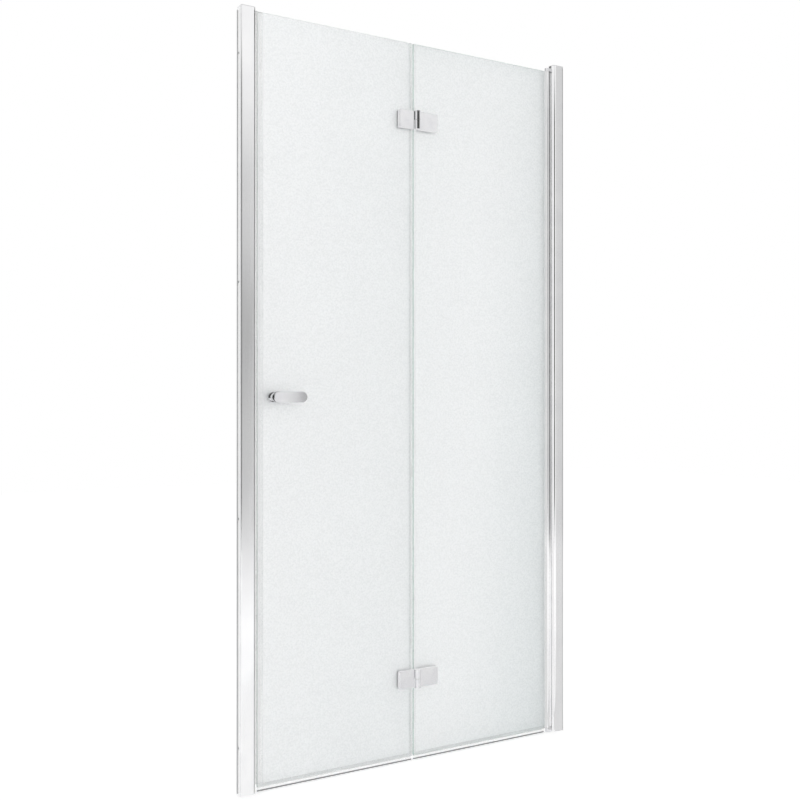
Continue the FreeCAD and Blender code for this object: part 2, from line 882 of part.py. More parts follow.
def hinge_leaf(label, side, hinge):
    """Front leaf of a glass hinge: a thick plate with half of the barrel on a web.

    The folding leaf (-1) carries the upper half of the barrel, the hinged leaf (+1) the lower half.
    """
    body = new_body(label)
    width = "folding_leaf_width" if side < 0 else "hinged_leaf_width"
    outer = f"{side} * (leaf_inner + {width})"
    inner = f"{side} * leaf_inner"
    base = f"{hinge} - leaf_height / 2"
    plate = rectangle(outer, inner, "-leaf_front", "-leaf_back")
    slab = pad(body, sketch(body, XY, raised(base), plate), "leaf_height")
    end = value(outer)
    corners = edges(slab, lambda edge, middle: runs_along(edge, THROUGH) and near(middle.x, end))
    rounded = fillet(body, slab, corners, "leaf_corner")
    front = value("-leaf_front")
    rim = edges(rounded, lambda edge, middle: near(middle.y, front) and not near(middle.x, value(inner)))
    fillet(body, rounded, rim, "leaf_edge")
    half = "leaf_height / 2 - split_gap / 2"
    start = f"{hinge} + split_gap / 2" if side < 0 else base
    joined = f"{inner} + {side} * overrun"
    web = rectangle("0", joined, "-leaf_front + leaf_edge", "-leaf_front + knuckle_web")
    pad(body, sketch(body, XY, raised(start), web), half)
    knuckle = circle("0", "-fold_depth", "knuckle_diameter / 2")
    pad(body, sketch(body, XY, raised(start), knuckle), half)
    bore_size = "hinge_bush_diameter / 2" if side < 0 else "hinge_pin_diameter / 2"
    bore = sketch(
        body, XY, raised(f"{hinge} - {side} * split_gap / 2"), circle("0", "-fold_depth", bore_size)
    )
    pocket(body, bore, "knuckle_bore", back=side < 0)
    threads = [circle(x, z, "screw_diameter / 2") for x, z in leaf_hole_places(side, (hinge,))]
    pocket(body, sketch(body, XZ, raised("leaf_back"), *threads), "screw_bite", back=True)


def clamp_plate(label, side, hinge):
    """Plate on the inside of the pane that the leaf is screwed to, with countersunk holes."""
    body = new_body(label)
    width = "folding_leaf_width" if side < 0 else "hinged_leaf_width"
    outer = f"{side} * (leaf_inner + {width})"
    outline = rectangle(outer, f"{side} * leaf_inner", "leaf_back", "plate_back")
    slab = pad(body, sketch(body, XY, raised(f"{hinge} - leaf_height / 2"), outline), "leaf_height")
    corners = edges(slab, lambda edge, middle: runs_along(edge, THROUGH) and near(middle.x, value(outer)))
    rounded = fillet(body, slab, corners, "leaf_corner")
    rim = edges(rounded, lambda edge, middle: near(middle.y, value("plate_back")))
    eased = fillet(body, rounded, rim, "plate_edge")
    holes = [circle(x, z, "screw_diameter / 2 + screw_play") for x, z in leaf_hole_places(side, (hinge,))]
    drilled = pocket(
        body, sketch(body, XZ, raised("-leaf_back + overrun"), *holes), "plate_thickness + 2 * overrun"
    )
    mouths = edges(
        drilled,
        lambda edge, middle: edge.Curve.TypeId == "Part::GeomCircle"
        and near(edge.Curve.Radius, value("screw_diameter / 2 + screw_play"))
        and near(middle.y, value("plate_back")),
    )
    chamfer(body, drilled, mouths, "screw_head_diameter / 2 - screw_diameter / 2")


def leaf_fittings(name, side):
    """Gaskets on both faces of a pane, sleeves in its holes and the countersunk screws of its leaves."""
    width = "folding_leaf_width" if side < 0 else "hinged_leaf_width"
    outer = f"{side} * (leaf_inner + {width} - gasket_inset)"
    inner = f"{side} * (leaf_inner + gasket_inset)"
    gaskets = []
    for hinge in ("upper_hinge", "lower_hinge"):
        low = f"{hinge} - leaf_height / 2 + gasket_inset"
        high = f"{hinge} + leaf_height / 2 - gasket_inset"
        holes = [circle(x, z, "glass_hole_diameter / 2") for x, z in leaf_hole_places(side, (hinge,))]
        for face in ("half_glass", "-leaf_back"):
            body = new_body()
            outline = rectangle(outer, inner, low, high)
            pad(body, sketch(body, XZ, raised(face), outline, *holes), "leaf_gasket")
            gaskets.append(body)
    group(f"{name}_leaf_gaskets", gaskets)
    bore = "screw_diameter / 2 + screw_play"
    sleeves = [
        turned_through(x, z, *ring(bore, "glass_hole_diameter / 2", "-leaf_back", "leaf_back"))
        for x, z in leaf_hole_places(side)
    ]
    group(f"{name}_leaf_sleeves", sleeves)
    shank = "screw_diameter / 2"
    tip = "-leaf_back - screw_bite + screw_play"
    head = "screw_head_diameter / 2"
    screws = [
        turned_through(
            x,
            z,
            ("0", tip),
            (shank, tip),
            (shank, f"plate_back - ({head} - {shank})"),
            (head, "plate_back"),
            ("0", "plate_back"),
        )
        for x, z in leaf_hole_places(side)
    ]
    group(f"{name}_leaf_screws", screws)


def hinge_cores():
    """Pins fixed in the lower half barrels, bushes in the upper halves and washers between them."""
    pin = "hinge_pin_diameter / 2"
    bore = f"{pin} + running_clearance"
    pins = []
    bushes = []
    washers = []
    for hinge in ("upper_hinge", "lower_hinge"):
        low = f"{hinge} - split_gap / 2"
        high = f"{hinge} + split_gap / 2"
        pin_top = f"{high} + knuckle_bore - end_clearance"
        pins.append(turned_upright("0", "-fold_depth", *rod(pin, f"{low} - knuckle_bore", pin_top)))
        bush = ring(bore, "hinge_bush_diameter / 2", high, f"{high} + knuckle_bore")
        bushes.append(turned_upright("0", "-fold_depth", *bush))
        washer = ring(pin, f"{pin} + washer_wall", low, f"{low} + washer_thickness")
        washers.append(turned_upright("0", "-fold_depth", *washer))
    group("hinge_pins", pins)
    group("hinge_bushes", bushes)
    group("hinge_washers", washers)


def handle(label, side):
    """Pull on one face of the folding pane: a rosette, a round post and a stadium plate in one casting."""
    body = new_body(label)
    back = side > 0
    rosette = circle("handle_x", "handle_height", "rosette_diameter / 2")
    seat = raised(f"{-side} * handle_back")
    foot = pad(body, sketch(body, XZ, seat, rosette), "rosette_thickness", back)
    shoulder = value(f"{side} * (handle_back + rosette_thickness)")
    rim = edges(foot, lambda edge, middle: near(middle.y, shoulder))
    fillet(body, foot, rim, "rosette_thickness / 2")
    post = circle("handle_x", "handle_height", "handle_post_diameter / 2")
    pad(body, sketch(body, XZ, seat, post), "plate_seat - handle_back + handle_thickness / 2", back)
    end = "handle_width / 2"
    plate = stadium("handle_x", f"handle_x + handle_length - 2 * {end}", "handle_height", end)
    slab = pad(
        body, sketch(body, XZ, raised(f"{-side} * plate_seat"), plate), "handle_thickness", back
    )
    front = value(f"{side} * handle_front")
    rim = edges(slab, lambda edge, middle: near(middle.y, front))
    eased = fillet(body, slab, rim, "handle_front_edge")
    behind = value(f"{side} * plate_seat")
    post_radius = value("handle_post_diameter / 2")
    rear = edges(
        eased,
        lambda edge, middle: near(middle.y, behind)
        and not (edge.Curve.TypeId == "Part::GeomCircle" and near(edge.Curve.Radius, post_radius)),
    )
    fillet(body, eased, rear, "handle_back_edge")
    thread = circle("handle_x", "handle_height", "stud_diameter / 2")
    pocket(body, sketch(body, XZ, seat, thread), "stud_reach", back=side < 0)
    lock = circle("handle_x", f"{side} * (handle_back + stud_reach / 2)", "set_screw_diameter / 2")
    below = raised("handle_height - handle_post_diameter / 2 - overrun")
    pocket(body, sketch(body, XY, below, lock), "handle_post_diameter / 2", back=True)


def handle_fittings():
    """Stud through the glass that joins both pulls, its sleeve, the washers and the locking screws."""
    stud = "stud_diameter / 2"
    reach = "handle_back + stud_reach - set_screw_play"
    turned_through("handle_x", "handle_height", *rod(stud, f"-({reach})", reach), label="handle_stud")
    sleeve = ring(stud, "glass_hole_diameter / 2", "-half_glass", "half_glass")
    turned_through("handle_x", "handle_height", *sleeve, label="handle_sleeve")
    washers = []
    screws = []
    for side in (-1, 1):
        washer = ring(stud, "handle_post_diameter / 2", f"{side} * half_glass", f"{side} * handle_back")
        washers.append(turned_through("handle_x", "handle_height", *washer))
        bottom = "handle_height - handle_post_diameter / 2 + set_screw_play"
        screw = rod("set_screw_diameter / 2", bottom, f"handle_height - {stud}")
        depth = f"{side} * (handle_back + stud_reach / 2)"
        screws.append(turned_upright("handle_x", depth, *screw))
    group("handle_washers", washers)
    group("handle_set_screws", screws)


def fixed_frame():
    """Both wall sides, the closing strip and the pivot bearings."""
    for name, profile_name, cap_name, side, height in (
        ("strike", "strike_profile", "strike_top_cap", -1, "strike_height"),
        ("hinge", "hinge_post", "hinge_post_cap", 1, "post_height"),
    ):
        wall_channel(f"{name}_wall_channel", side, height)
        wall_profile(profile_name, side, height)
        end_cap(cap_name, side, height)
        fixing_screws(f"{name}_fixing_screws", side, height)
        screw_covers(f"{name}_screw_covers", side, height)
    strike_magnet()
    pivot_seal()
    pivot_hardware()


def hinged_panel():
    """The pane that turns on the post, with its pivot profile and the fixed halves of the hinges."""
    pane("hinged_glass", "-hinged_reach", "hinged_edge", 1)
    pivot_profile()
    glazing_gasket()
    bottom_seal("hinged_bottom_seal", "-hinged_reach", "clamp_end - seal_end_gap")
    for place in ("upper", "lower"):
        hinge_leaf(f"{place}_hinge_fixed_leaf", 1, f"{place}_hinge")
        clamp_plate(f"{place}_hinge_fixed_plate", 1, f"{place}_hinge")
    leaf_fittings("hinged", 1)


def folding_panel():
    """The pane that folds on the hinged one, with its seals, the moving halves and the pulls."""
    pull = ("handle_x", "handle_height")
    pane("folding_glass", "-leading_x", "folding_edge", -1, more_holes=(pull,))
    bottom_seal("folding_bottom_seal", "-leading_x", "folding_edge")
    fold_seal()
    leading_edge()
    for place in ("upper", "lower"):
        hinge_leaf(f"{place}_hinge_moving_leaf", -1, f"{place}_hinge")
        clamp_plate(f"{place}_hinge_moving_plate", -1, f"{place}_hinge")
    leaf_fittings("folding", -1)
    handle("outer_handle", -1)
    handle("inner_handle", 1)
    handle_fittings()


def write_parts():
    """Check every object of the document, then write one file for each sub-part."""
    doc.recompute()
    for item in doc.Objects:
        if "Invalid" in item.State or "Error" in item.State:
            raise RuntimeError(f"{item.Label} ({item.Name}) failed: {item.State}")
    for item in nodes:
        if item.Shape.isNull() or not item.Shape.isValid():
            raise RuntimeError(f"{item.Label} has no valid shape")
    os.makedirs("parts", exist_ok=True)
    for item in nodes:
        item.Shape.exportStep(f"parts/{item.Label}.step")
        print(f"{item.Label}: {len(item.Shape.Solids)} solids, {item.Shape.Volume:.1f} mm3")


fixed_frame()
hinged_panel()
folding_panel()
hinge_cores()
write_parts()
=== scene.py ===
"""Looks of a two-leaf pivot-fold shower door: finishes, small fittings, studio and camera.

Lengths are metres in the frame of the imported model: +X runs from the closing side to the post,
+Y into the shower and +Z up.
"""

from __future__ import annotations

import logging
import math
from abc import ABC, abstractmethod
from dataclasses import dataclass, field
from enum import Enum
from typing import Any, Sequence

import bmesh
import bpy
from mathutils import Matrix, Vector


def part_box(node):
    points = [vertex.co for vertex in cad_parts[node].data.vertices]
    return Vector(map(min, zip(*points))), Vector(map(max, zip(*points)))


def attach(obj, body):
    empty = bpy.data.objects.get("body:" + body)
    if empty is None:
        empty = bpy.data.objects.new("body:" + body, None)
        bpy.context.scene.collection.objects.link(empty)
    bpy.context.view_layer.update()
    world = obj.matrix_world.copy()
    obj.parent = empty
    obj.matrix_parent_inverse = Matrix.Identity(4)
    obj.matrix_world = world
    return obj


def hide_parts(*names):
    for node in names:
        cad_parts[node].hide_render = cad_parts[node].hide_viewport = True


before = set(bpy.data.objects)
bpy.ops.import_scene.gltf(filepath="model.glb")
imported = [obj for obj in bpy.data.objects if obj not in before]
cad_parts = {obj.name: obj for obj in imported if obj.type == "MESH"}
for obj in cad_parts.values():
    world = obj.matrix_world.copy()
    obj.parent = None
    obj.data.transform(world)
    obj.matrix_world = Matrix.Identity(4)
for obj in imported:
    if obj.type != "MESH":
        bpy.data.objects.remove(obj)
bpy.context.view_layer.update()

BMesh = bmesh.types.BMesh
Socket = bpy.types.NodeSocket
Colour = tuple[float, float, float]
Point = tuple[float, float, float]
Span = tuple[float, float]
Outline = Sequence[tuple[float, float]]
Stops = tuple[tuple[float, float], ...]

LOG = logging.getLogger("shower_door")
WHITE: Colour = (1.0, 1.0, 1.0)
ORIGIN: Point = (0.0, 0.0, 0.0)
QUARTER_TURN = math.pi / 2
FULL_TURN = 2 * math.pi
SIDES = 24
HEX_CORNERS = 6
CROSS_CORNERS = 8
SHARP_ANGLE = math.radians(34)
MERGE_DISTANCE = 1e-7
FINE_DETAIL = 2.0
# Sockets of the mix node when it mixes colours.
MIX_FACTOR, MIX_FIRST, MIX_SECOND, MIX_RESULT = 0, 6, 7, 2


class Slot(Enum):
    """The record's finishes of the small fittings."""

    CAP = "cap_plastic"
    STEEL = "stainless_steel"


class Grain(Enum):
    """Which way the fine marks of a surface run, as the stretch of their pattern."""

    UPRIGHT = (1.0, 1.0, 0.012)
    ACROSS = (0.012, 1.0, 1.0)
    EVEN = (1.0, 1.0, 1.0)


class Facing(Enum):
    """Which way the head of a screw looks, as its turn about the X axis."""

    INWARD = -QUARTER_TURN
    DOWN = math.pi


class NodeBoard:
    """The nodes of one material, laid round a principled surface."""

    def __init__(self, name: str) -> None:
        """Start a material.

        Args:
            name: What the material is called.
        """
        self.material = bpy.data.materials.new(name)
        self.material.use_nodes = True
        self.tree = self.material.node_tree
        self.surface = self.tree.nodes["Principled BSDF"]
        self.coordinates = self.add("ShaderNodeTexCoord")

    def add(self, kind: str, **settings: Any) -> bpy.types.Node:
        """Add a node.

        Args:
            kind: Blender's name for the node.
            settings: Properties of the node.

        Returns:
            The node.
        """
        node = self.tree.nodes.new(kind)
        for name, setting in settings.items():
            setattr(node, name, setting)
        return node

    def feed(self, target: Socket, source: Any) -> None:
        """Give a socket a constant, or the output of another node.

        Args:
            target: The socket that is fed.
            source: A number, a vector, a colour or an output socket.
        """
        if isinstance(source, Socket):
            self.tree.links.new(source, target)
        elif target.type == "RGBA" and len(source) == 3:
            target.default_value = (*source, 1.0)
        else:
            target.default_value = source

    def sockets(self, **values: Any) -> None:
        """Feed sockets of the principled surface, with underscores for spaces.

        Args:
            values: The socket names and what each of them is fed.
        """
        for name, source in values.items():
            self.feed(self.surface.inputs[name.replace("_", " ")], source)

    def noise(self, scale: float, detail: float, stretch: Point = Grain.EVEN.value) -> Socket:
        """Add a cloudy pattern on object coordinates.

        Args:
            scale: Cells per metre.
            detail: Octaves of finer cells.
            stretch: Scale of the pattern along each axis.

        Returns:
            The pattern's value, about 0.3 to 0.7.
        """
        mapping = self.add("ShaderNodeMapping")
        self.feed(mapping.inputs["Vector"], self.coordinates.outputs["Object"])
        self.feed(mapping.inputs["Scale"], stretch)
        texture = self.add("ShaderNodeTexNoise")
        self.feed(texture.inputs["Vector"], mapping.outputs["Vector"])
        self.feed(texture.inputs["Scale"], scale)
        self.feed(texture.inputs["Detail"], detail)
        return texture.outputs["Fac"]

    def spread(
        self,
        source: Socket,
        low: float,
        high: float,
        start: float = 0.3,
        end: float = 0.7,
    ) -> Socket:
        """Stretch a value to another range, smoothly and with clamped ends.

        Args:
            source: The value.
            low: What the start becomes.
            high: What the end becomes.
            start: Start of the value's range.
            end: End of the value's range.

        Returns:
            The stretched value.
        """
        node = self.add("ShaderNodeMapRange", interpolation_type="SMOOTHSTEP")
        for name, number in (
            ("From Min", start),
            ("From Max", end),
            ("To Min", low),
            ("To Max", high),
        ):
            self.feed(node.inputs[name], number)
        self.feed(node.inputs["Value"], source)
        return node.outputs["Result"]

    def maths(self, operation: str, first: Any, second: Any = 0.0) -> Socket:
        """Add a sum.

        Args:
            operation: Blender's name for the sum.
            first: The first number or socket.
            second: The second number or socket.

        Returns:
            The result.
        """
        node = self.add("ShaderNodeMath", operation=operation)
        self.feed(node.inputs[0], first)
        self.feed(node.inputs[1], second)
        return node.outputs["Value"]

    def mix(self, factor: Any, first: Any, second: Any) -> Socket:
        """Mix two colours.

        Args:
            factor: How much of the second colour.
            first: The first colour or socket.
            second: The second colour or socket.

        Returns:
            The mixed colour.
        """
        node = self.add("ShaderNodeMix", data_type="RGBA")
        self.feed(node.inputs[MIX_FACTOR], factor)
        self.feed(node.inputs[MIX_FIRST], first)
        self.feed(node.inputs[MIX_SECOND], second)
        return node.outputs[MIX_RESULT]

    def axis(self, name: str, output: str = "Object") -> Socket:
        """Take one component of the object coordinates or of the normal.

        Args:
            name: X, Y or Z.
            output: Which coordinates.

        Returns:
            The component.
        """
        node = self.add("ShaderNodeSeparateXYZ")
        self.feed(node.inputs["Vector"], self.coordinates.outputs[output])
        return node.outputs[name]

    def relief(self, height: Socket, strength: float, depth: float) -> None:
        """Bump the surface.

        Args:
            height: The pattern that stands out.
            strength: How much of the relief shows.
            depth: Its depth in metres.
        """
        node = self.add("ShaderNodeBump")
        self.feed(node.inputs["Strength"], strength)
        self.feed(node.inputs["Distance"], depth)
        self.feed(node.inputs["Height"], height)
        self.sockets(Normal=node.outputs["Normal"])


@dataclass(frozen=True)
class Finish(ABC):
    """What a surface looks like."""

    name: str

    @abstractmethod
    def paint(self, board: NodeBoard) -> None:
        """Lay the nodes of the surface.

        Args:
            board: The material.
        """

    def material(self) -> bpy.types.Material:
        """Build the material.

        Returns:
            The finished material.
        """
        board = NodeBoard(self.name)
        self.paint(board)
        return board.material


@dataclass(frozen=True)
class BrightMetal(Finish):
    """Metal with fine marks along its grain and faint wipe marks over them."""

    colour: Colour
    dull: Colour
    roughness: Span
    grain: Grain
    marks: float
    depth: float
    wipes: float = 14.0
    wipe_detail: float = 5.0
    line_share: float = 0.5
    strength: float = 0.25

    def paint(self, board: NodeBoard) -> None:
        """Lay the nodes of the surface.

        Args:
            board: The material.
        """
        lines = board.noise(self.marks, FINE_DETAIL, self.grain.value)
        wiped = board.noise(self.wipes, self.wipe_detail)
        haze = board.maths(
            "ADD",
            board.maths("MULTIPLY", lines, self.line_share),
            board.maths("MULTIPLY", wiped, 1.0 - self.line_share),
        )
        board.sockets(
            Base_Color=board.mix(board.spread(wiped, 0.0, 1.0), self.colour, self.dull),
            Roughness=board.spread(haze, *self.roughness),
            Metallic=1.0,
        )
        board.relief(lines, self.strength, self.depth)


@dataclass(frozen=True)
class EtchedGlass(Finish):
    """Safety glass with etched faces: a milky grain, clear green edges, and painted shade towards
    +X, lower down and at the top.
    """

    face: Colour
    # Painted shade: the faces darken from the face colour to the shade colour towards +X and lower
    # down.
    shade: Colour
    edge: Colour
    shade_start: float
    shade_end: float
    shade_fall: float = 0.10
    # Painted shade: the upper part of the faces is mixed towards the top colour, darkening it where
    # the lamps light it most.
    top: Colour = (0.55, 0.57, 0.57)
    painted_top_shade_share: float = 0.09
    painted_top_shade_start: float = 1.15
    painted_top_shade_end: float = 1.9
    grain: float = 900.0
    mottle: float = 240.0
    mottle_detail: float = 4.0
    pit: Colour = (0.5, 0.52, 0.52)
    pit_share: float = 0.3
    crest_share: float = 0.32
    face_turn: Span = (0.75, 0.97)
    etch: Span = (0.46, 0.62)
    polish: float = 0.06
    ior: float = 1.5
    transmission: float = 0.82
    specular: float = 0.4
    strength: float = 0.12
    depth: float = 0.0002

    def paint(self, board: NodeBoard) -> None:
        """Lay the nodes of the surface.

        Args:
            board: The material.
        """
        fine = board.noise(self.grain, FINE_DETAIL)
        mottled = board.noise(self.mottle, self.mottle_detail)
        # Painted shade towards +X and lower down.
        fall = board.maths("MULTIPLY", board.axis("Z"), self.shade_fall)
        drift = board.maths("SUBTRACT", board.axis("X"), fall)
        shaded = board.spread(drift, 0.0, 1.0, self.shade_start, self.shade_end)
        painted_shade_colour = board.mix(shaded, self.face, self.shade)
        # Painted shade at the top of the faces.
        raised = board.spread(board.axis("Z"), 0.0, self.painted_top_shade_share, self.painted_top_shade_start, self.painted_top_shade_end)
        painted_top_shade_colour = board.mix(raised, painted_shade_colour, self.top)
        pits = board.mix(self.pit_share, painted_top_shade_colour, self.pit)
        crests = board.mix(self.crest_share, painted_top_shade_colour, WHITE)
        clouded = board.mix(board.spread(mottled, 0.0, 1.0), pits, crests)
        flat = board.maths("ABSOLUTE", board.axis("Y", "Normal"))
        etched = board.spread(flat, 0.0, 1.0, *self.face_turn)
        rough = board.maths("MULTIPLY", etched, board.spread(fine, *self.etch))
        board.sockets(
            Base_Color=board.mix(etched, self.edge, clouded),
            Roughness=board.maths("ADD", rough, self.polish),
            IOR=self.ior,
            Transmission_Weight=self.transmission,
            Specular_IOR_Level=self.specular,
        )
        board.relief(fine, self.strength, self.depth)


@dataclass(frozen=True)
class ClearVinyl(Finish):
    """Extruded clear strip: cloudy, with draw lines along its run and maybe a painted contact
    shadow, opaque dark grey, along its lowest millimetres.
    """

    colour: Colour
    cloud: Colour
    grain: Grain
    cover: float = 0.13
    # The next three values paint a contact shadow: up to the first height the strip is opaque dark
    # grey in the third colour, fading out over the second distance.
    painted_shadow_top: float = 0.0
    painted_shadow_fade: float = 0.001
    painted_contact_shadow: Colour = (0.24, 0.24, 0.245)
    marks: float = 700.0
    clouds: float = 35.0
    cloud_detail: float = 4.0
    roughness: Span = (0.22, 0.36)
    ior: float = 1.45
    specular: float = 0.4
    strength: float = 0.10
    depth: float = 0.0001

    def paint(self, board: NodeBoard) -> None:
        """Lay the nodes of the surface.

        Args:
            board: The material.
        """
        lines = board.noise(self.marks, FINE_DETAIL, self.grain.value)
        cloud = board.noise(self.clouds, self.cloud_detail)
        clear = board.mix(board.spread(cloud, 0.0, 1.0), self.colour, self.cloud)
        # Painted contact shadow: opaque dark grey below the given height, the clear strip above it.
        above = board.spread(board.axis("Z"), 0.0, 1.0, self.painted_shadow_top - self.painted_shadow_fade, self.painted_shadow_top)
        board.sockets(
            Base_Color=board.mix(above, self.painted_contact_shadow, clear),
            Roughness=board.spread(lines, *self.roughness),
            Alpha=board.spread(above, 1.0, self.cover, 0.0, 1.0),
            IOR=self.ior,
            Specular_IOR_Level=self.specular,
        )
        board.relief(lines, self.strength, self.depth)


@dataclass(frozen=True)
class MouldedPlastic(Finish):
    """Moulded or cut plastic and rubber: an eroded skin with slight flow marks."""

    colour: Colour
    flow: Colour
    roughness: Span
    skin: float = 1600.0
    depth: float = 0.0001
    flow_marks: float = 60.0
    flow_detail: float = 4.0
    strength: float = 0.3

    def paint(self, board: NodeBoard) -> None:
        """Lay the nodes of the surface.

        Args:
            board: The material.
        """
        skin = board.noise(self.skin, FINE_DETAIL)
        flow = board.noise(self.flow_marks, self.flow_detail)
        board.sockets(
            Base_Color=board.mix(board.spread(flow, 0.0, 1.0), self.colour, self.flow),
            Roughness=board.spread(skin, *self.roughness),
        )
        board.relief(skin, self.strength, self.depth)


BRIGHT_PROFILE = BrightMetal(
    name="bright_profile",
    colour=(0.92, 0.92, 0.925),
    dull=(0.885, 0.885, 0.895),
    roughness=(0.08, 0.13),
    grain=Grain.UPRIGHT,
    marks=900.0,
    depth=2e-5,
)
RAW_CHANNEL = BrightMetal(
    name="raw_channel",
    colour=(0.91, 0.915, 0.92),
    dull=(0.86, 0.865, 0.87),
    roughness=(0.20, 0.28),
    grain=Grain.UPRIGHT,
    marks=700.0,
    depth=3e-5,
)
CHROME_FITTING = BrightMetal(
    name="chrome_fitting",
    colour=(0.79, 0.79, 0.80),
    dull=(0.74, 0.74, 0.76),
    roughness=(0.05, 0.10),
    grain=Grain.EVEN,
    marks=1400.0,
    depth=4e-6,
    wipes=30.0,
)
TURNED_STEEL = BrightMetal(
    name="turned_steel",
    colour=(0.62, 0.61, 0.60),
    dull=(0.54, 0.53, 0.52),
    roughness=(0.22, 0.34),
    grain=Grain.EVEN,
    marks=2600.0,
    depth=1e-5,
    wipes=90.0,
)
# The shade colour and its range on each pane are painted shade; the edge colour is the glass's own
# green.
FOLDING_PANE = EtchedGlass(
    name="etched_folding_pane",
    face=(0.965, 0.975, 0.98),
    shade=(0.915, 0.935, 0.94),
    edge=(0.70, 0.78, 0.75),
    shade_start=-0.75,
    shade_end=0.05,
)
HINGED_PANE = EtchedGlass(
    name="etched_hinged_pane",
    face=(0.945, 0.96, 0.965),
    shade=(0.79, 0.83, 0.835),
    edge=(0.22, 0.38, 0.33),
    shade_start=0.05,
    shade_end=0.50,
)
UPRIGHT_VINYL = ClearVinyl(
    name="clear_upright_seal",
    colour=(0.95, 0.955, 0.955),
    cloud=(0.91, 0.92, 0.92),
    grain=Grain.UPRIGHT,
)
LEVEL_VINYL = ClearVinyl(
    name="clear_bottom_seal",
    colour=(0.95, 0.955, 0.955),
    cloud=(0.91, 0.92, 0.92),
    grain=Grain.ACROSS,
    # Painted contact shadow up to 4.2 mm above the floor.
    painted_shadow_top=0.0042,
)
MAGNET_STRIP = MouldedPlastic(
    name="magnet_strip",
    colour=(0.86, 0.86, 0.86),
    flow=(0.81, 0.81, 0.815),
    roughness=(0.50, 0.66),
    skin=900.0,
)
CAP_PLASTIC = MouldedPlastic(
    name="cap_plastic",
    colour=(0.74, 0.745, 0.75),
    flow=(0.70, 0.705, 0.71),
    roughness=(0.26, 0.36),
    skin=1900.0,
    depth=4e-5,
)
NATURAL_NYLON = MouldedPlastic(
    name="natural_nylon",
    colour=(0.80, 0.79, 0.74),
    flow=(0.74, 0.73, 0.68),
    roughness=(0.36, 0.50),
)
GASKET_RUBBER = MouldedPlastic(
    name="gasket_rubber",
    colour=(0.90, 0.905, 0.91),
    flow=(0.85, 0.86, 0.865),
    roughness=(0.50, 0.66),
    skin=1200.0,
)


class Workshop:
    """Makes each finish once and hands out its material."""

    def __init__(self) -> None:
        """Start with no finishes made."""
        self.made: dict[str, bpy.types.Material] = {}

    def material(self, finish: Finish) -> bpy.types.Material:
        """Give the material of a finish.

        Args:
            finish: The finish.

        Returns:
            Its material, made on the first call.
        """
        if finish.name not in self.made:
            self.made[finish.name] = finish.material()
        return self.made[finish.name]

    def dress(self, finish: Finish, *nodes: str) -> None:
        """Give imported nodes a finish.

        Args:
            finish: The finish.
            nodes: The names of the nodes.
        """
        for name in nodes:
            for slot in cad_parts[name].material_slots:
                slot.material = self.material(finish)
            LOG.info("%s wears %s", name, finish.name)

    def keep(
        self,
        mesh: BMesh,
        name: str,
        body: str,
        slot: Slot,
        finish: Finish,
        *replaced: str,
    ) -> None:
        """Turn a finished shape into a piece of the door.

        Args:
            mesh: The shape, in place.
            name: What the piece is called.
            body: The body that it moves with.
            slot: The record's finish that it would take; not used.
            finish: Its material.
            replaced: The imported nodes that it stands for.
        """
        bmesh.ops.recalc_face_normals(mesh, faces=mesh.faces[:])
        data = bpy.data.meshes.new(name)
        mesh.to_mesh(data)
        mesh.free()
        data.shade_smooth()
        data.set_sharp_from_angle(angle=SHARP_ANGLE)
        data.materials.append(self.material(finish))
        piece = bpy.data.objects.new(name, data)
        bpy.context.scene.collection.objects.link(piece)
        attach(piece, body)
        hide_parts(*replaced)
        LOG.info("%s made for %s", name, ", ".join(replaced))


def turn_mesh(mesh: BMesh, angle: float, axis: str) -> None:
    """Turn a whole shape about the origin.

    Args:
        mesh: The shape.
        angle: The angle in radians.
        axis: X, Y or Z.
    """
    matrix = Matrix.Rotation(angle, 3, axis)
    bmesh.ops.rotate(mesh, cent=ORIGIN, matrix=matrix, verts=mesh.verts[:])


def move_mesh(mesh: BMesh, offset: Point) -> None:
    """Move a whole shape.

    Args:
        mesh: The shape.
        offset: How far it goes along each axis.
    """
    bmesh.ops.translate(mesh, vec=offset, verts=mesh.verts[:])


def turned(outline: Outline) -> BMesh:
    """Spin an outline about the Z axis.

    Args:
        outline: Points as radius and height, in order.

    Returns:
        The turned shape; it is open where the outline doesn't end on the axis.
    """
    mesh = bmesh.new()
    points = [mesh.verts.new((radius, 0.0, height)) for radius, height in outline]
    lines = [mesh.edges.new(pair) for pair in zip(points, points[1:])]
    bmesh.ops.spin(
        mesh,
        geom=points + lines,
        cent=ORIGIN,
        axis=(0.0, 0.0, 1.0),
        angle=FULL_TURN,
        steps=SIDES,
        use_merge=True,
    )
    bmesh.ops.remove_doubles(mesh, verts=mesh.verts[:], dist=MERGE_DISTANCE)
    return mesh


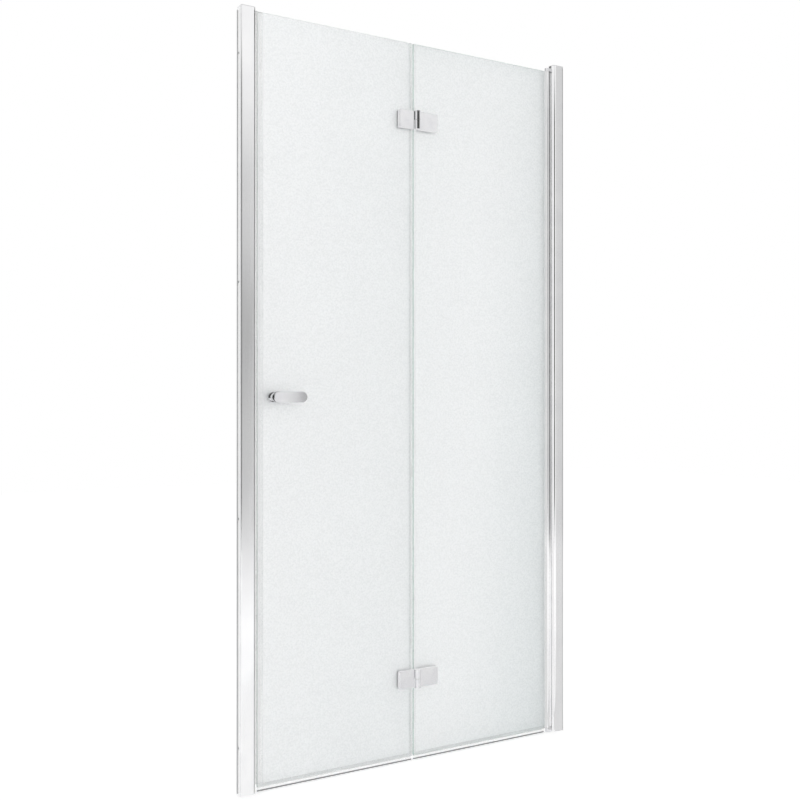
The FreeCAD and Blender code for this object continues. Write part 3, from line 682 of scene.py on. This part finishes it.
def sink_recess(
    mesh: BMesh, corners: int, radius: float, depth: float, waist: float = 1.0
) -> None:
    """Close the open mouth of a turned head with a driver recess.

    Args:
        mesh: The head, open at height zero.
        corners: Corners of the recess; SIDES is a multiple of it.
        radius: How far the outer corners are from the axis.
        depth: Depth of the recess.
        waist: How far every second corner is, as a share of the radius.
    """
    mouth = [edge for edge in mesh.edges if edge.is_boundary]
    rim = bmesh.ops.create_circle(mesh, cap_ends=False, segments=corners, radius=radius)["verts"]
    for index, vert in enumerate(rim):
        if index % 2:
            vert.co *= waist
    sides = list({edge for vert in rim for edge in vert.link_edges})
    cuts = SIDES // corners - 1
    if cuts:
        split = bmesh.ops.subdivide_edges(mesh, edges=sides, cuts=cuts)
        sides = [item for item in split["geom"] if isinstance(item, bmesh.types.BMEdge)]
    bmesh.ops.bridge_loops(mesh, edges=mouth + sides)
    wall = bmesh.ops.extrude_edge_only(mesh, edges=sides)["geom"]
    floor = [item for item in wall if isinstance(item, bmesh.types.BMVert)]
    bmesh.ops.translate(mesh, vec=(0.0, 0.0, -depth), verts=floor)
    bmesh.ops.holes_fill(mesh, edges=[edge for edge in mesh.edges if edge.is_boundary])


def thread(
    radius: float, depth: float, pitch: float, start: float, end: float
) -> list[tuple[float, float]]:
    """Give the ridges of a thread as an outline.

    Args:
        radius: Outer radius.
        depth: Depth of the ridges.
        pitch: Distance from ridge to ridge.
        start: Where the thread starts.
        end: Where it ends.

    Returns:
        Points as radius and height.
    """
    turns = max(1, int((end - start) / pitch))
    ridges: list[tuple[float, float]] = []
    for index in range(turns):
        base = start + index * pitch
        ridges.append((radius - depth, base))
        ridges.append((radius, base + pitch / 2))
    ridges.append((radius - depth, start + turns * pitch))
    return ridges


def set_out(single: BMesh, facing: Facing, places: Sequence[Vector]) -> BMesh:
    """Copy a turned fitting to several places.

    Args:
        single: The fitting, with its head face at the origin and looking up.
        facing: Which way the heads look in place.
        places: Where the middles of the head faces go.

    Returns:
        All copies in one shape.
    """
    turn_mesh(single, facing.value, "X")
    first = single.verts[:] + single.edges[:] + single.faces[:]
    for place in places[1:]:
        copy = bmesh.ops.duplicate(single, geom=first)["geom"]
        moved = [item for item in copy if isinstance(item, bmesh.types.BMVert)]
        bmesh.ops.translate(single, vec=place, verts=moved)
    started = [item for item in first if isinstance(item, bmesh.types.BMVert)]
    bmesh.ops.translate(single, vec=places[0], verts=started)
    return single


@dataclass
class SocketScrew:
    """Countersunk hex socket screw that pulls a clamp plate to its hinge leaf."""

    head_radius: float = 0.005
    shank_radius: float = 0.0025
    length: float = 0.0199
    rim: float = 0.0002
    mouth: float = 0.0024
    key: float = 0.0019
    key_depth: float = 0.0016
    pitch: float = 0.0008
    ridge: float = 0.0003
    threaded: float = 0.009

    def build(self) -> BMesh:
        """Make one screw with its head face at the origin.

        Returns:
            The screw.
        """
        cone = self.head_radius - self.shank_radius
        tip = -self.length
        outline = [(0.0, tip), (self.shank_radius - 2 * self.ridge, tip)]
        outline += thread(
            self.shank_radius, self.ridge, self.pitch, tip + self.ridge, tip + self.threaded
        )
        outline += [
            (self.shank_radius, tip + self.threaded + self.pitch),
            (self.shank_radius, -cone - self.rim),
            (self.head_radius, -self.rim),
            (self.head_radius - self.rim, 0.0),
            (self.mouth, 0.0),
        ]
        screw = turned(outline)
        sink_recess(screw, HEX_CORNERS, self.key, self.key_depth)
        return screw


@dataclass
class GrubScrew:
    """Headless set screw with a hex socket and a cup point."""

    radius: float = 0.002
    mouth: float = 0.00145
    key: float = 0.00115
    key_depth: float = 0.0016
    pitch: float = 0.0007
    ridge: float = 0.00022
    cup: float = 0.0009

    def build(self, length: float) -> BMesh:
        """Make one screw with its driven end at the origin.

        Args:
            length: Length of the screw.

        Returns:
            The screw.
        """
        tip = -length
        outline = [(0.0, tip + self.cup / 2), (self.cup, tip)]
        outline += thread(self.radius, self.ridge, self.pitch, tip + self.ridge, -self.ridge)
        outline.append((self.mouth, 0.0))
        screw = turned(outline)
        sink_recess(screw, HEX_CORNERS, self.key, self.key_depth)
        return screw


@dataclass
class PanScrew:
    """Pan head self-tapping screw with a cross recess."""

    head_radius: float = 0.00325
    head_height: float = 0.0018
    shank_radius: float = 0.0015
    mouth: float = 0.0017
    cross: float = 0.0014
    waist: float = 0.4
    cross_depth: float = 0.0011
    pitch: float = 0.0009
    ridge: float = 0.0003
    crown: Outline = ((1.0, 0.55), (0.93, 0.25), (0.78, 0.07))

    def build(self, length: float) -> BMesh:
        """Make one screw with the crown of its head at the origin.

        Args:
            length: Length over all.

        Returns:
            The screw.
        """
        tip, neck = -length, -self.head_height
        outline = [(0.0, tip)]
        outline += thread(
            self.shank_radius, self.ridge, self.pitch, tip + self.shank_radius, neck - self.pitch
        )
        outline += [(self.shank_radius, neck), (self.head_radius, neck)]
        outline += [(across * self.head_radius, down * neck) for across, down in self.crown]
        outline.append((self.mouth, 0.0))
        screw = turned(outline)
        sink_recess(screw, CROSS_CORNERS, self.cross, self.cross_depth, self.waist)
        return screw


@dataclass
class SnapCap:
    """Round cap with a domed crown over a fixing screw."""

    radius: float = 0.005
    height: float = 0.003
    bore: float = 0.00325
    bore_depth: float = 0.0018
    crown: float = 0.0014
    dish: float = 0.0001
    steps: int = 6

    def build(self) -> BMesh:
        """Make one cap with the middle of its crown at the origin.

        Returns:
            The cap.
        """
        outline = [
            (0.0, self.bore_depth - self.height),
            (self.bore, self.bore_depth - self.height),
            (self.bore, -self.height),
            (self.radius, -self.height),
        ]
        for step in range(self.steps + 1):
            angle = QUARTER_TURN * step / self.steps
            outline.append(
                (
                    self.radius - self.crown * (1 - math.cos(angle)),
                    -self.crown * (1 - math.sin(angle)) - self.dish,
                )
            )
        outline.append((0.0, 0.0))
        return turned(outline)


@dataclass
class WallFrame:
    """Both wall profiles with channels, caps and fixings, the closing strip and the bearings."""

    workshop: Workshop
    body: str = "frame"
    fixing: PanScrew = field(default_factory=PanScrew)
    cap: SnapCap = field(default_factory=SnapCap)
    lock: GrubScrew = field(default_factory=GrubScrew)

    def build(self) -> None:
        """Make the screws and snap caps of both profiles, and the screws that lock the pins."""
        for name, screws, covers in (
            ("strike", "strike_fixing_screws", "strike_screw_covers"),
            ("post", "hinge_fixing_screws", "hinge_screw_covers"),
        ):
            low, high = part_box(screws)
            places = self.column(low, high, self.fixing.head_radius)
            shape = set_out(self.fixing.build(high.y - low.y), Facing.INWARD, places)
            self.workshop.keep(
                shape, f"{name}_profile_screws", self.body, Slot.STEEL, TURNED_STEEL, screws
            )
            low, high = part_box(covers)
            places = self.column(low, high, self.cap.radius)
            shape = set_out(self.cap.build(), Facing.INWARD, places)
            self.workshop.keep(shape, f"{name}_snap_caps", self.body, Slot.CAP, CAP_PLASTIC, covers)
        low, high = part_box("pivot_set_screws")
        middle = (low.x + high.x) / 2
        ends = [
            Vector((middle, high.y, low.z + self.lock.radius)),
            Vector((middle, high.y, high.z - self.lock.radius)),
        ]
        shape = set_out(self.lock.build(high.y - low.y), Facing.INWARD, ends)
        self.workshop.keep(
            shape, "pivot_locking_screws", self.body, Slot.STEEL, TURNED_STEEL, "pivot_set_screws"
        )

    @staticmethod
    def column(low: Vector, high: Vector, radius: float) -> list[Vector]:
        """Find the three places of an evenly spaced column of round fittings.

        Args:
            low: Lowest corner of the column's box.
            high: Highest corner of the column's box.
            radius: Radius of one fitting.

        Returns:
            The middles of the head faces.
        """
        middle = (low.x + high.x) / 2
        bottom, top = low.z + radius, high.z - radius
        return [Vector((middle, high.y, z)) for z in (bottom, (bottom + top) / 2, top)]

    def dress(self) -> None:
        """Give the fixed pieces their finishes."""
        work = self.workshop
        work.dress(BRIGHT_PROFILE, "strike_profile", "hinge_post", "pivot_seal")
        work.dress(CHROME_FITTING, "top_bearing", "bottom_bearing")
        work.dress(RAW_CHANNEL, "strike_wall_channel", "hinge_wall_channel")
        work.dress(CAP_PLASTIC, "strike_top_cap", "hinge_post_cap")
        work.dress(UPRIGHT_VINYL, "strike_magnet_carrier")
        work.dress(MAGNET_STRIP, "strike_magnet_bar")
        work.dress(TURNED_STEEL, "top_pivot_pin", "bottom_pivot_pin")


@dataclass
class GlassHinges:
    """Both glass hinges: leaves, plates, screws, pins and what cushions the glass."""

    workshop: Workshop
    screw: SocketScrew = field(default_factory=SocketScrew)
    spacing: float = 0.024

    def build(self) -> None:
        """Make the clamp screws of both panes."""
        for name, body in (("hinged", "hinged_panel"), ("folding", "folding_panel")):
            node = f"{name}_leaf_screws"
            low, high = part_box(node)
            middle = (low.x + high.x) / 2
            reach = self.screw.head_radius
            heights = (
                low.z + reach,
                low.z + reach + self.spacing,
                high.z - reach - self.spacing,
                high.z - reach,
            )
            places = [Vector((middle, high.y, z)) for z in heights]
            shape = set_out(self.screw.build(), Facing.INWARD, places)
            self.workshop.keep(shape, f"{name}_clamp_screws", body, Slot.STEEL, TURNED_STEEL, node)

    def dress(self) -> None:
        """Give the hinge pieces their finishes."""
        work = self.workshop
        for place in ("upper", "lower"):
            for kind in ("fixed_leaf", "fixed_plate", "moving_leaf", "moving_plate"):
                work.dress(CHROME_FITTING, f"{place}_hinge_{kind}")
        work.dress(GASKET_RUBBER, "hinged_leaf_gaskets", "folding_leaf_gaskets")
        work.dress(NATURAL_NYLON, "hinged_leaf_sleeves", "folding_leaf_sleeves")
        work.dress(NATURAL_NYLON, "hinge_bushes", "hinge_washers")
        work.dress(TURNED_STEEL, "hinge_pins")


@dataclass
class HingedLeaf:
    """The pane on the post with its pivot profile and bottom seal."""

    workshop: Workshop

    def dress(self) -> None:
        """Give the pieces of the hinged pane their finishes."""
        work = self.workshop
        work.dress(HINGED_PANE, "hinged_glass")
        work.dress(BRIGHT_PROFILE, "pivot_profile")
        work.dress(GASKET_RUBBER, "glazing_gasket")
        work.dress(NATURAL_NYLON, "pivot_bushes")
        work.dress(LEVEL_VINYL, "hinged_bottom_seal")


@dataclass
class FoldingLeaf:
    """The pane with the closing edge, its seals and the pulls."""

    workshop: Workshop
    body: str = "folding_panel"
    lock: GrubScrew = field(default_factory=GrubScrew)

    def build(self) -> None:
        """Make the screws that lock the pulls on their stud."""
        low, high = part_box("handle_set_screws")
        middle = (low.x + high.x) / 2
        ends = [
            Vector((middle, low.y + self.lock.radius, low.z)),
            Vector((middle, high.y - self.lock.radius, low.z)),
        ]
        shape = set_out(self.lock.build(high.z - low.z), Facing.DOWN, ends)
        self.workshop.keep(
            shape, "pull_locking_screws", self.body, Slot.STEEL, TURNED_STEEL, "handle_set_screws"
        )

    def dress(self) -> None:
        """Give the pieces of the folding pane their finishes."""
        work = self.workshop
        work.dress(FOLDING_PANE, "folding_glass")
        work.dress(LEVEL_VINYL, "folding_bottom_seal")
        work.dress(UPRIGHT_VINYL, "fold_seal", "leading_edge_seal")
        work.dress(MAGNET_STRIP, "leading_magnet_bar")
        work.dress(CHROME_FITTING, "outer_handle", "inner_handle")
        work.dress(TURNED_STEEL, "handle_stud")
        work.dress(NATURAL_NYLON, "handle_sleeve")
        work.dress(GASKET_RUBBER, "handle_washers")


@dataclass(frozen=True)
class SoftBox:
    """A large soft lamp."""

    name: str
    place: Point
    size: Span
    power: float
    aim: Point = (0.0, 0.0, 0.9)

    def hang(self) -> None:
        """Put the lamp in the scene, turned to what it lights."""
        data = bpy.data.lights.new(self.name, "AREA")
        data.shape = "RECTANGLE"
        data.size, data.size_y = self.size
        data.energy = self.power
        lamp = bpy.data.objects.new(self.name, data)
        bpy.context.scene.collection.objects.link(lamp)
        lamp.location = self.place
        lamp.visible_glossy = False
        ahead = Vector(self.aim) - Vector(self.place)
        lamp.rotation_euler = ahead.to_track_quat("-Z", "Y").to_euler()


@dataclass(frozen=True)
class Screen:
    """An upright card from one place on the floor plan to another, with its cover by height."""

    name: str
    start: tuple[float, float]
    end: tuple[float, float]
    grey: float
    cover: Stops


@dataclass(frozen=True)
class Lane:
    """A grey card on the floor, from its start in the direction of its turn."""

    name: str
    start: tuple[float, float]
    turn: float
    length: float
    width: float
    grey: float


@dataclass(frozen=True)
class Hoop:
    """A flat grey ring that looks to the front."""

    name: str
    middle: Point
    inner: float
    outer: float
    grey: float


@dataclass(frozen=True)
class Camera:
    """The photograph's viewpoint."""

    name: str = "photo_camera"
    place: Point = (-1.483, -2.369, 0.949)
    yaw: float = math.radians(31.26)
    pitch: float = math.radians(0.11)
    focal: float = 1051.3
    picture: float = 800.0
    sensor: float = 36.0

    def set_up(self) -> None:
        """Put the camera in the scene and make it the one that is used."""
        data = bpy.data.cameras.new(self.name)
        data.sensor_width = self.sensor
        data.lens = self.focal / self.picture * self.sensor
        camera = bpy.data.objects.new(self.name, data)
        bpy.context.scene.collection.objects.link(camera)
        ahead = Vector(
            (
                math.sin(self.yaw) * math.cos(self.pitch),
                math.cos(self.yaw) * math.cos(self.pitch),
                math.sin(self.pitch),
            )
        )
        camera.location = self.place
        camera.rotation_euler = ahead.to_track_quat("-Z", "Y").to_euler()
        bpy.context.scene.camera = camera


# How much the upright cards cover, by height in metres.
PROFILE_COVER: Stops = ((0.0, 1.0), (1.9, 1.0))
POST_COVER: Stops = ((0.0, 1.0), (1.915, 1.0))
TALL_COVER: Stops = ((0.0, 1.0), (2.1, 1.0))
SHADED_POST_COVER: Stops = ((0.42, 0.0), (0.62, 1.0), (2.1, 1.0))
SOFT_EDGE_COVER: Stops = ((0.0, 1.0), (0.6, 1.0), (1.0, 0.3), (1.9, 0.3))
BARREL_COVER: Stops = ((1.61, 0.0), (1.63, 1.0), (1.78, 1.0), (1.8, 0.0))
BARREL_BAND_COVER: Stops = ((1.66, 0.0), (1.662, 1.0), (1.73, 1.0), (1.732, 0.0))
LOWER_LEAF_COVER: Stops = ((0.187, 0.0), (0.189, 1.0), (0.247, 1.0), (0.249, 0.0))
UPPER_LEAF_COVER: Stops = ((1.664, 0.0), (1.666, 1.0), (1.724, 1.0), (1.726, 0.0))
# The way that a level ray from the camera goes after a flat front has mirrored it.
MIRROR_TURN = math.radians(-58.7)


@dataclass
class Studio:
    """White floor and backdrop, soft lamps, and grey cards that only reflections show."""

    floor_size: float = 9.0
    floor_drop: float = 0.0004
    floor_glow: float = 0.40
    floor_colour: Colour = (0.80, 0.80, 0.80)
    ambient: float = 0.76
    ring_radius: float = 4.5
    ring_height: float = 4.2
    ring_sides: int = 64
    hoop_sides: int = 48
    lane_height: float = 0.001
    lamps: tuple[SoftBox, ...] = (
        SoftBox("key_box", (-2.8, -3.8, 2.5), (2.4, 2.4), 34.0),
        SoftBox("fill_box", (3.4, -2.6, 2.4), (2.0, 2.0), 16.0),
        SoftBox("back_box", (0.6, 3.6, 3.4), (2.6, 2.0), 5.0),
    )
    cards: Stops = (
        (0.0, 0.92),
        (0.24, 0.90),
        (0.29, 0.10),
        (0.522, 0.08),
        (0.543, 1.0),
        (0.59, 1.0),
        (0.603, 0.80),
        (0.618, 0.80),
        (0.645, 0.12),
        (0.80, 0.12),
        (0.88, 0.92),
    )
    tall_cards: Stops = ((0.55, 0.0), (0.60, 1.0), (0.80, 1.0), (0.84, 0.0))
    card_band: Stops = ((0.02, 0.3), (0.06, 1.0), (0.70, 1.0), (0.82, 0.0))
    strip_place: float = -0.95
    strip_grey: float = 0.46
    strip_across: Stops = ((-0.17, 0.0), (-0.13, 1.0), (-0.055, 1.0), (-0.03, 0.0))
    strip_up: Stops = ((0.10, 0.0), (0.78, 0.78), (1.18, 1.0), (1.62, 0.62), (2.15, 0.0))
    grip_across: Stops = ((0.0, 0.0), (0.06, 0.25), (0.115, 1.0), (0.16, 1.0), (0.2, 0.0))
    grip_up: Stops = ((0.86, 0.0), (0.92, 1.0), (1.01, 1.0), (1.07, 0.0))
    screens: tuple[Screen, ...] = (
        Screen("studio_pale_screen", (0.30, -0.012), (0.374, -0.2), 0.95, TALL_COVER),
        Screen("studio_dark_screen", (0.386, 0.127), (0.333, 0.07), 0.03, SHADED_POST_COVER),
        Screen("studio_edge_screen", (-0.499, 0.0145), (-0.503, 0.0145), 0.05, PROFILE_COVER),
        Screen(
            "studio_leaf_screen",
            (-0.061, -0.0036),
            (0.066, -0.0036),
            0.95,
            LOWER_LEAF_COVER + UPPER_LEAF_COVER,
        ),
        Screen("studio_wall_edge_screen", (0.4995, -0.0142), (0.4995, -0.0175), 0.05, POST_COVER),
        Screen("studio_corner_screen", (-0.4628, -0.019), (-0.452, -0.019), 0.06, PROFILE_COVER),
        Screen(
            "studio_soft_edge_screen", (-0.503, 0.0145), (-0.5065, 0.0145), 0.80, SOFT_EDGE_COVER
        ),
        Screen("studio_barrel_right_screen", (0.075, -0.0165), (0.075, -0.09), 1.0, BARREL_COVER),
        Screen("studio_barrel_left_screen", (-0.06, -0.0165), (-0.06, -0.0646), 1.0, BARREL_COVER),
        Screen(
            "studio_barrel_dark_screen", (-0.001, -0.029), (0.007, -0.029), 0.06, BARREL_BAND_COVER
        ),
    )
    hoops: tuple[Hoop, ...] = (
        Hoop("studio_rim_hoop", (-0.4146, -0.02, 0.961), 0.018, 0.022, 0.02),
        Hoop("studio_post_hoop", (-0.4125, -0.02, 0.961), 0.0108, 0.0132, 0.02),
    )
    lanes: tuple[Lane, ...] = (
        Lane("studio_post_lane", (0.47, -0.02), math.radians(-50.2), 4.0, 0.36, 0.76),
        Lane("studio_hinge_lane", (0.26, -0.445), MIRROR_TURN, 0.7, 0.35, 0.92),
        Lane("studio_strike_lane", (-0.48, -0.02), MIRROR_TURN, 3.5, 0.3, 1.0),
    )

    @staticmethod
    def split_rays(
        tree: bpy.types.NodeTree, light: bpy.types.Node, seen: bpy.types.Node, output: str
    ) -> None:
        """Use one shader for the rays that light the object and one for those that show it.

        Args:
            tree: The node tree of a backdrop.
            light: The shader for rays that light the object.
            seen: The shader for camera, glossy and transmission rays.
            output: The name of the tree's output node.
        """
        path = tree.nodes.new("ShaderNodeLightPath")
        most = path.outputs["Is Camera Ray"]
        for name in ("Is Glossy Ray", "Is Transmission Ray"):
            node = tree.nodes.new("ShaderNodeMath")
            node.operation = "MAXIMUM"
            tree.links.new(most, node.inputs[0])
            tree.links.new(path.outputs[name], node.inputs[1])
            most = node.outputs["Value"]
        mixed = tree.nodes.new("ShaderNodeMixShader")
        tree.links.new(most, mixed.inputs[0])
        tree.links.new(light.outputs[0], mixed.inputs[1])
        tree.links.new(seen.outputs[0], mixed.inputs[2])
        tree.links.new(mixed.outputs[0], tree.nodes[output].inputs["Surface"])

    def world(self) -> None:
        """Make a white world that lights the object at a plain level."""
        world = bpy.data.worlds.new("studio_world")
        bpy.context.scene.world = world
        world.use_nodes = True
        tree = world.node_tree
        light = tree.nodes["Background"]
        light.inputs["Color"].default_value = (*WHITE, 1.0)
        light.inputs["Strength"].default_value = self.ambient
        seen = tree.nodes.new("ShaderNodeBackground")
        seen.inputs["Color"].default_value = (*WHITE, 1.0)
        self.split_rays(tree, light, seen, "World Output")

    def floor(self) -> None:
        """Lay a white floor that keeps the door's shadow."""
        mesh = bmesh.new()
        bmesh.ops.create_grid(mesh, x_segments=1, y_segments=1, size=self.floor_size)
        move_mesh(mesh, (0.0, 0.0, -self.floor_drop))
        material = bpy.data.materials.new("studio_floor")
        material.use_nodes = True
        tree = material.node_tree
        tree.nodes.remove(tree.nodes["Principled BSDF"])
        bounce, shade = (tree.nodes.new("ShaderNodeBsdfDiffuse") for _ in range(2))
        for paint in (bounce, shade):
            paint.inputs["Color"].default_value = (*self.floor_colour, 1.0)
        glow = tree.nodes.new("ShaderNodeEmission")
        glow.inputs["Strength"].default_value = self.floor_glow
        lit = tree.nodes.new("ShaderNodeAddShader")
        tree.links.new(shade.outputs[0], lit.inputs[0])
        tree.links.new(glow.outputs[0], lit.inputs[1])
        self.split_rays(tree, bounce, lit, "Material Output")
        self.stand("studio_floor", mesh, material)

    @staticmethod
    def raise_edges(mesh: BMesh, height: float) -> None:
        """Pull upright walls out of a shape's edges.

        Args:
            mesh: A shape of edges alone.
            height: Height of the walls.
        """
        raised = bmesh.ops.extrude_edge_only(mesh, edges=mesh.edges[:])["geom"]
        top = [item for item in raised if isinstance(item, bmesh.types.BMVert)]
        bmesh.ops.translate(mesh, vec=(0.0, 0.0, height), verts=top)

    @staticmethod
    def square_card() -> BMesh:
        """Make a level card.

        Returns:
            A square with sides of one metre round the origin.
        """
        mesh = bmesh.new()
        bmesh.ops.create_grid(mesh, x_segments=1, y_segments=1, size=0.5)
        return mesh

    def ring(self) -> None:
        """Stand grey cards in a ring round the door."""
        mesh = bmesh.new()
        bmesh.ops.create_circle(
            mesh, cap_ends=False, segments=self.ring_sides, radius=self.ring_radius
        )
        self.raise_edges(mesh, self.ring_height)
        board = NodeBoard("studio_cards")
        front = board.maths("MULTIPLY", board.axis("Y"), -1.0)
        bearing = board.maths("ARCTAN2", board.axis("X"), front)
        share = board.maths("ADD", board.maths("DIVIDE", bearing, FULL_TURN), 0.5)
        grey = self.ramp(board, share, self.cards)
        height = board.maths("DIVIDE", board.axis("Z"), self.ring_height)
        band = board.maths(
            "MAXIMUM",
            self.ramp(board, height, self.card_band),
            self.ramp(board, share, self.tall_cards),
        )
        self.show_to_metal(board, board.mix(band, WHITE, grey), 1.0)
        self.stand("studio_ring", mesh, board.material, mirrored_only=True)

    def strips(self) -> None:
        """Hang one narrow card before the closing side, mirrored by its profile and its pull."""
        across = [place for place, _ in self.strip_across + self.grip_across]
        up = [place for place, _ in self.strip_up]
        left, right, low, high = min(across), max(across), min(up), max(up)
        mesh = self.square_card()
        turn_mesh(mesh, QUARTER_TURN, "X")
        bmesh.ops.scale(mesh, vec=(right - left, 1.0, high - low), verts=mesh.verts[:])
        move_mesh(mesh, ((left + right) / 2, self.strip_place, (low + high) / 2))
        board = NodeBoard("studio_strips")
        cover = [
            board.maths(
                "MULTIPLY", self.reach(board, "X", sideways), self.reach(board, "Z", upright)
            )
            for sideways, upright in (
                (self.strip_across, self.strip_up),
                (self.grip_across, self.grip_up),
            )
        ]
        grey = (self.strip_grey,) * 3
        self.show_to_metal(board, grey, board.maths("MAXIMUM", *cover))
        self.stand("studio_strips", mesh, board.material, mirrored_only=True)

    def stand_screens(self) -> None:
        """Stand upright cards beside profiles and hinges, mirrored by their edges and barrels."""
        for screen in self.screens:
            low, high = screen.cover[0][0], screen.cover[-1][0]
            mesh = bmesh.new()
            mesh.edges.new([mesh.verts.new((x, y, low)) for x, y in (screen.start, screen.end)])
            self.raise_edges(mesh, high - low)
            self.grey_card(screen.name, mesh, screen.grey, screen.cover)

    def hang_hoops(self) -> None:
        """Hang dark rings round the pull, mirrored by the rim of its plate and its post."""
        for hoop in self.hoops:
            mesh = bmesh.new()
            for radius in (hoop.inner, hoop.outer):
                bmesh.ops.create_circle(
                    mesh, cap_ends=False, segments=self.hoop_sides, radius=radius
                )
            bmesh.ops.bridge_loops(mesh, edges=mesh.edges[:])
            turn_mesh(mesh, QUARTER_TURN, "X")
            move_mesh(mesh, hoop.middle)
            self.grey_card(hoop.name, mesh, hoop.grey)

    def lay_lanes(self) -> None:
        """Lay grey cards on the floor, mirrored by both profiles and by the lower hinge."""
        for lane in self.lanes:
            mesh = self.square_card()
            bmesh.ops.scale(mesh, vec=(lane.length, lane.width, 1.0), verts=mesh.verts[:])
            move_mesh(mesh, (lane.length / 2, 0.0, 0.0))
            turn_mesh(mesh, lane.turn, "Z")
            move_mesh(mesh, (*lane.start, self.lane_height))
            self.grey_card(lane.name, mesh, lane.grey)

    def grey_card(self, name: str, mesh: BMesh, grey: float, cover: Stops = ()) -> None:
        """Finish a card of one grey that only reflections show.

        Args:
            name: What it is called.
            mesh: Its shape.
            grey: Its grey.
            cover: Heights in metres and how much it covers there; without any it covers all.
        """
        board = NodeBoard(name)
        amount = self.reach(board, "Z", cover) if cover else 1.0
        self.show_to_metal(board, (grey,) * 3, amount)
        self.stand(name, mesh, board.material, mirrored_only=True)

    def reach(self, board: NodeBoard, axis: str, stops: Stops) -> Socket:
        """Map a coordinate through stops that are given in metres.

        Args:
            board: The material.
            axis: X or Z.
            stops: Places in metres and values.

        Returns:
            The value.
        """
        start, end = stops[0][0], stops[-1][0]
        offset = board.maths("SUBTRACT", board.axis(axis), start)
        share = board.maths("DIVIDE", offset, end - start)
        shares = tuple(((place - start) / (end - start), amount) for place, amount in stops)
        return self.ramp(board, share, shares)

    @staticmethod
    def show_to_metal(board: NodeBoard, colour: Any, cover: Any) -> None:
        """Make a glowing card, clear where it doesn't cover.

        Args:
            board: The card's material.
            colour: Its colour or a socket that gives it.
            cover: How much it hides what is behind it, or a socket that gives it.
        """
        glow = board.add("ShaderNodeEmission")
        board.feed(glow.inputs["Color"], colour)
        clear = board.add("ShaderNodeBsdfTransparent")
        mixed = board.add("ShaderNodeMixShader")
        board.feed(mixed.inputs[0], cover)
        board.feed(mixed.inputs[1], clear.outputs[0])
        board.feed(mixed.inputs[2], glow.outputs[0])
        board.feed(board.tree.nodes["Material Output"].inputs["Surface"], mixed.outputs[0])
        board.tree.nodes.remove(board.surface)

    @staticmethod
    def ramp(board: NodeBoard, source: Socket, stops: Stops) -> Socket:
        """Map a value through grey stops.

        Args:
            board: The material.
            source: The value, from 0 to 1.
            stops: Places and greys.

        Returns:
            The grey.
        """
        node = board.add("ShaderNodeValToRGB")
        node.color_ramp.interpolation = "EASE"
        points = node.color_ramp.elements
        for place, _ in stops[2:]:
            points.new(place)
        for point, (place, grey) in zip(points, stops):
            point.position = place
            point.color = (grey, grey, grey, 1.0)
        board.feed(node.inputs["Fac"], source)
        return node.outputs["Color"]

    @staticmethod
    def stand(
        name: str, mesh: BMesh, material: bpy.types.Material, mirrored_only: bool = False
    ) -> None:
        """Put a piece of the studio in the scene.

        Args:
            name: What it is called.
            mesh: Its shape.
            material: Its material.
            mirrored_only: Whether only reflections show it.
        """
        data = bpy.data.meshes.new(name)
        mesh.to_mesh(data)
        mesh.free()
        data.materials.append(material)
        item = bpy.data.objects.new(name, data)
        bpy.context.scene.collection.objects.link(item)
        if mirrored_only:
            item.visible_camera = False
            item.visible_diffuse = False
            item.visible_transmission = False
            item.visible_volume_scatter = False
            item.visible_shadow = False

    def set_up(self) -> None:
        """Build the studio round the door."""
        bpy.context.scene.view_settings.view_transform = "Standard"
        self.world()
        self.floor()
        self.ring()
        self.strips()
        self.stand_screens()
        self.hang_hoops()
        self.lay_lanes()
        for lamp in self.lamps:
            lamp.hang()
        Camera().set_up()


def main() -> None:
    """Build and dress the door, then set up the studio."""
    logging.basicConfig(level=logging.INFO, format="%(name)s: %(message)s")
    workshop = Workshop()
    wall_frame = WallFrame(workshop)
    hinges = GlassHinges(workshop)
    hinged_leaf = HingedLeaf(workshop)
    folding_leaf = FoldingLeaf(workshop)
    for assembly in (wall_frame, hinges, folding_leaf):
        assembly.build()
    for assembly in (wall_frame, hinges, hinged_leaf, folding_leaf):
        assembly.dress()
    Studio().set_up()


if __name__ == "__main__":
    main()
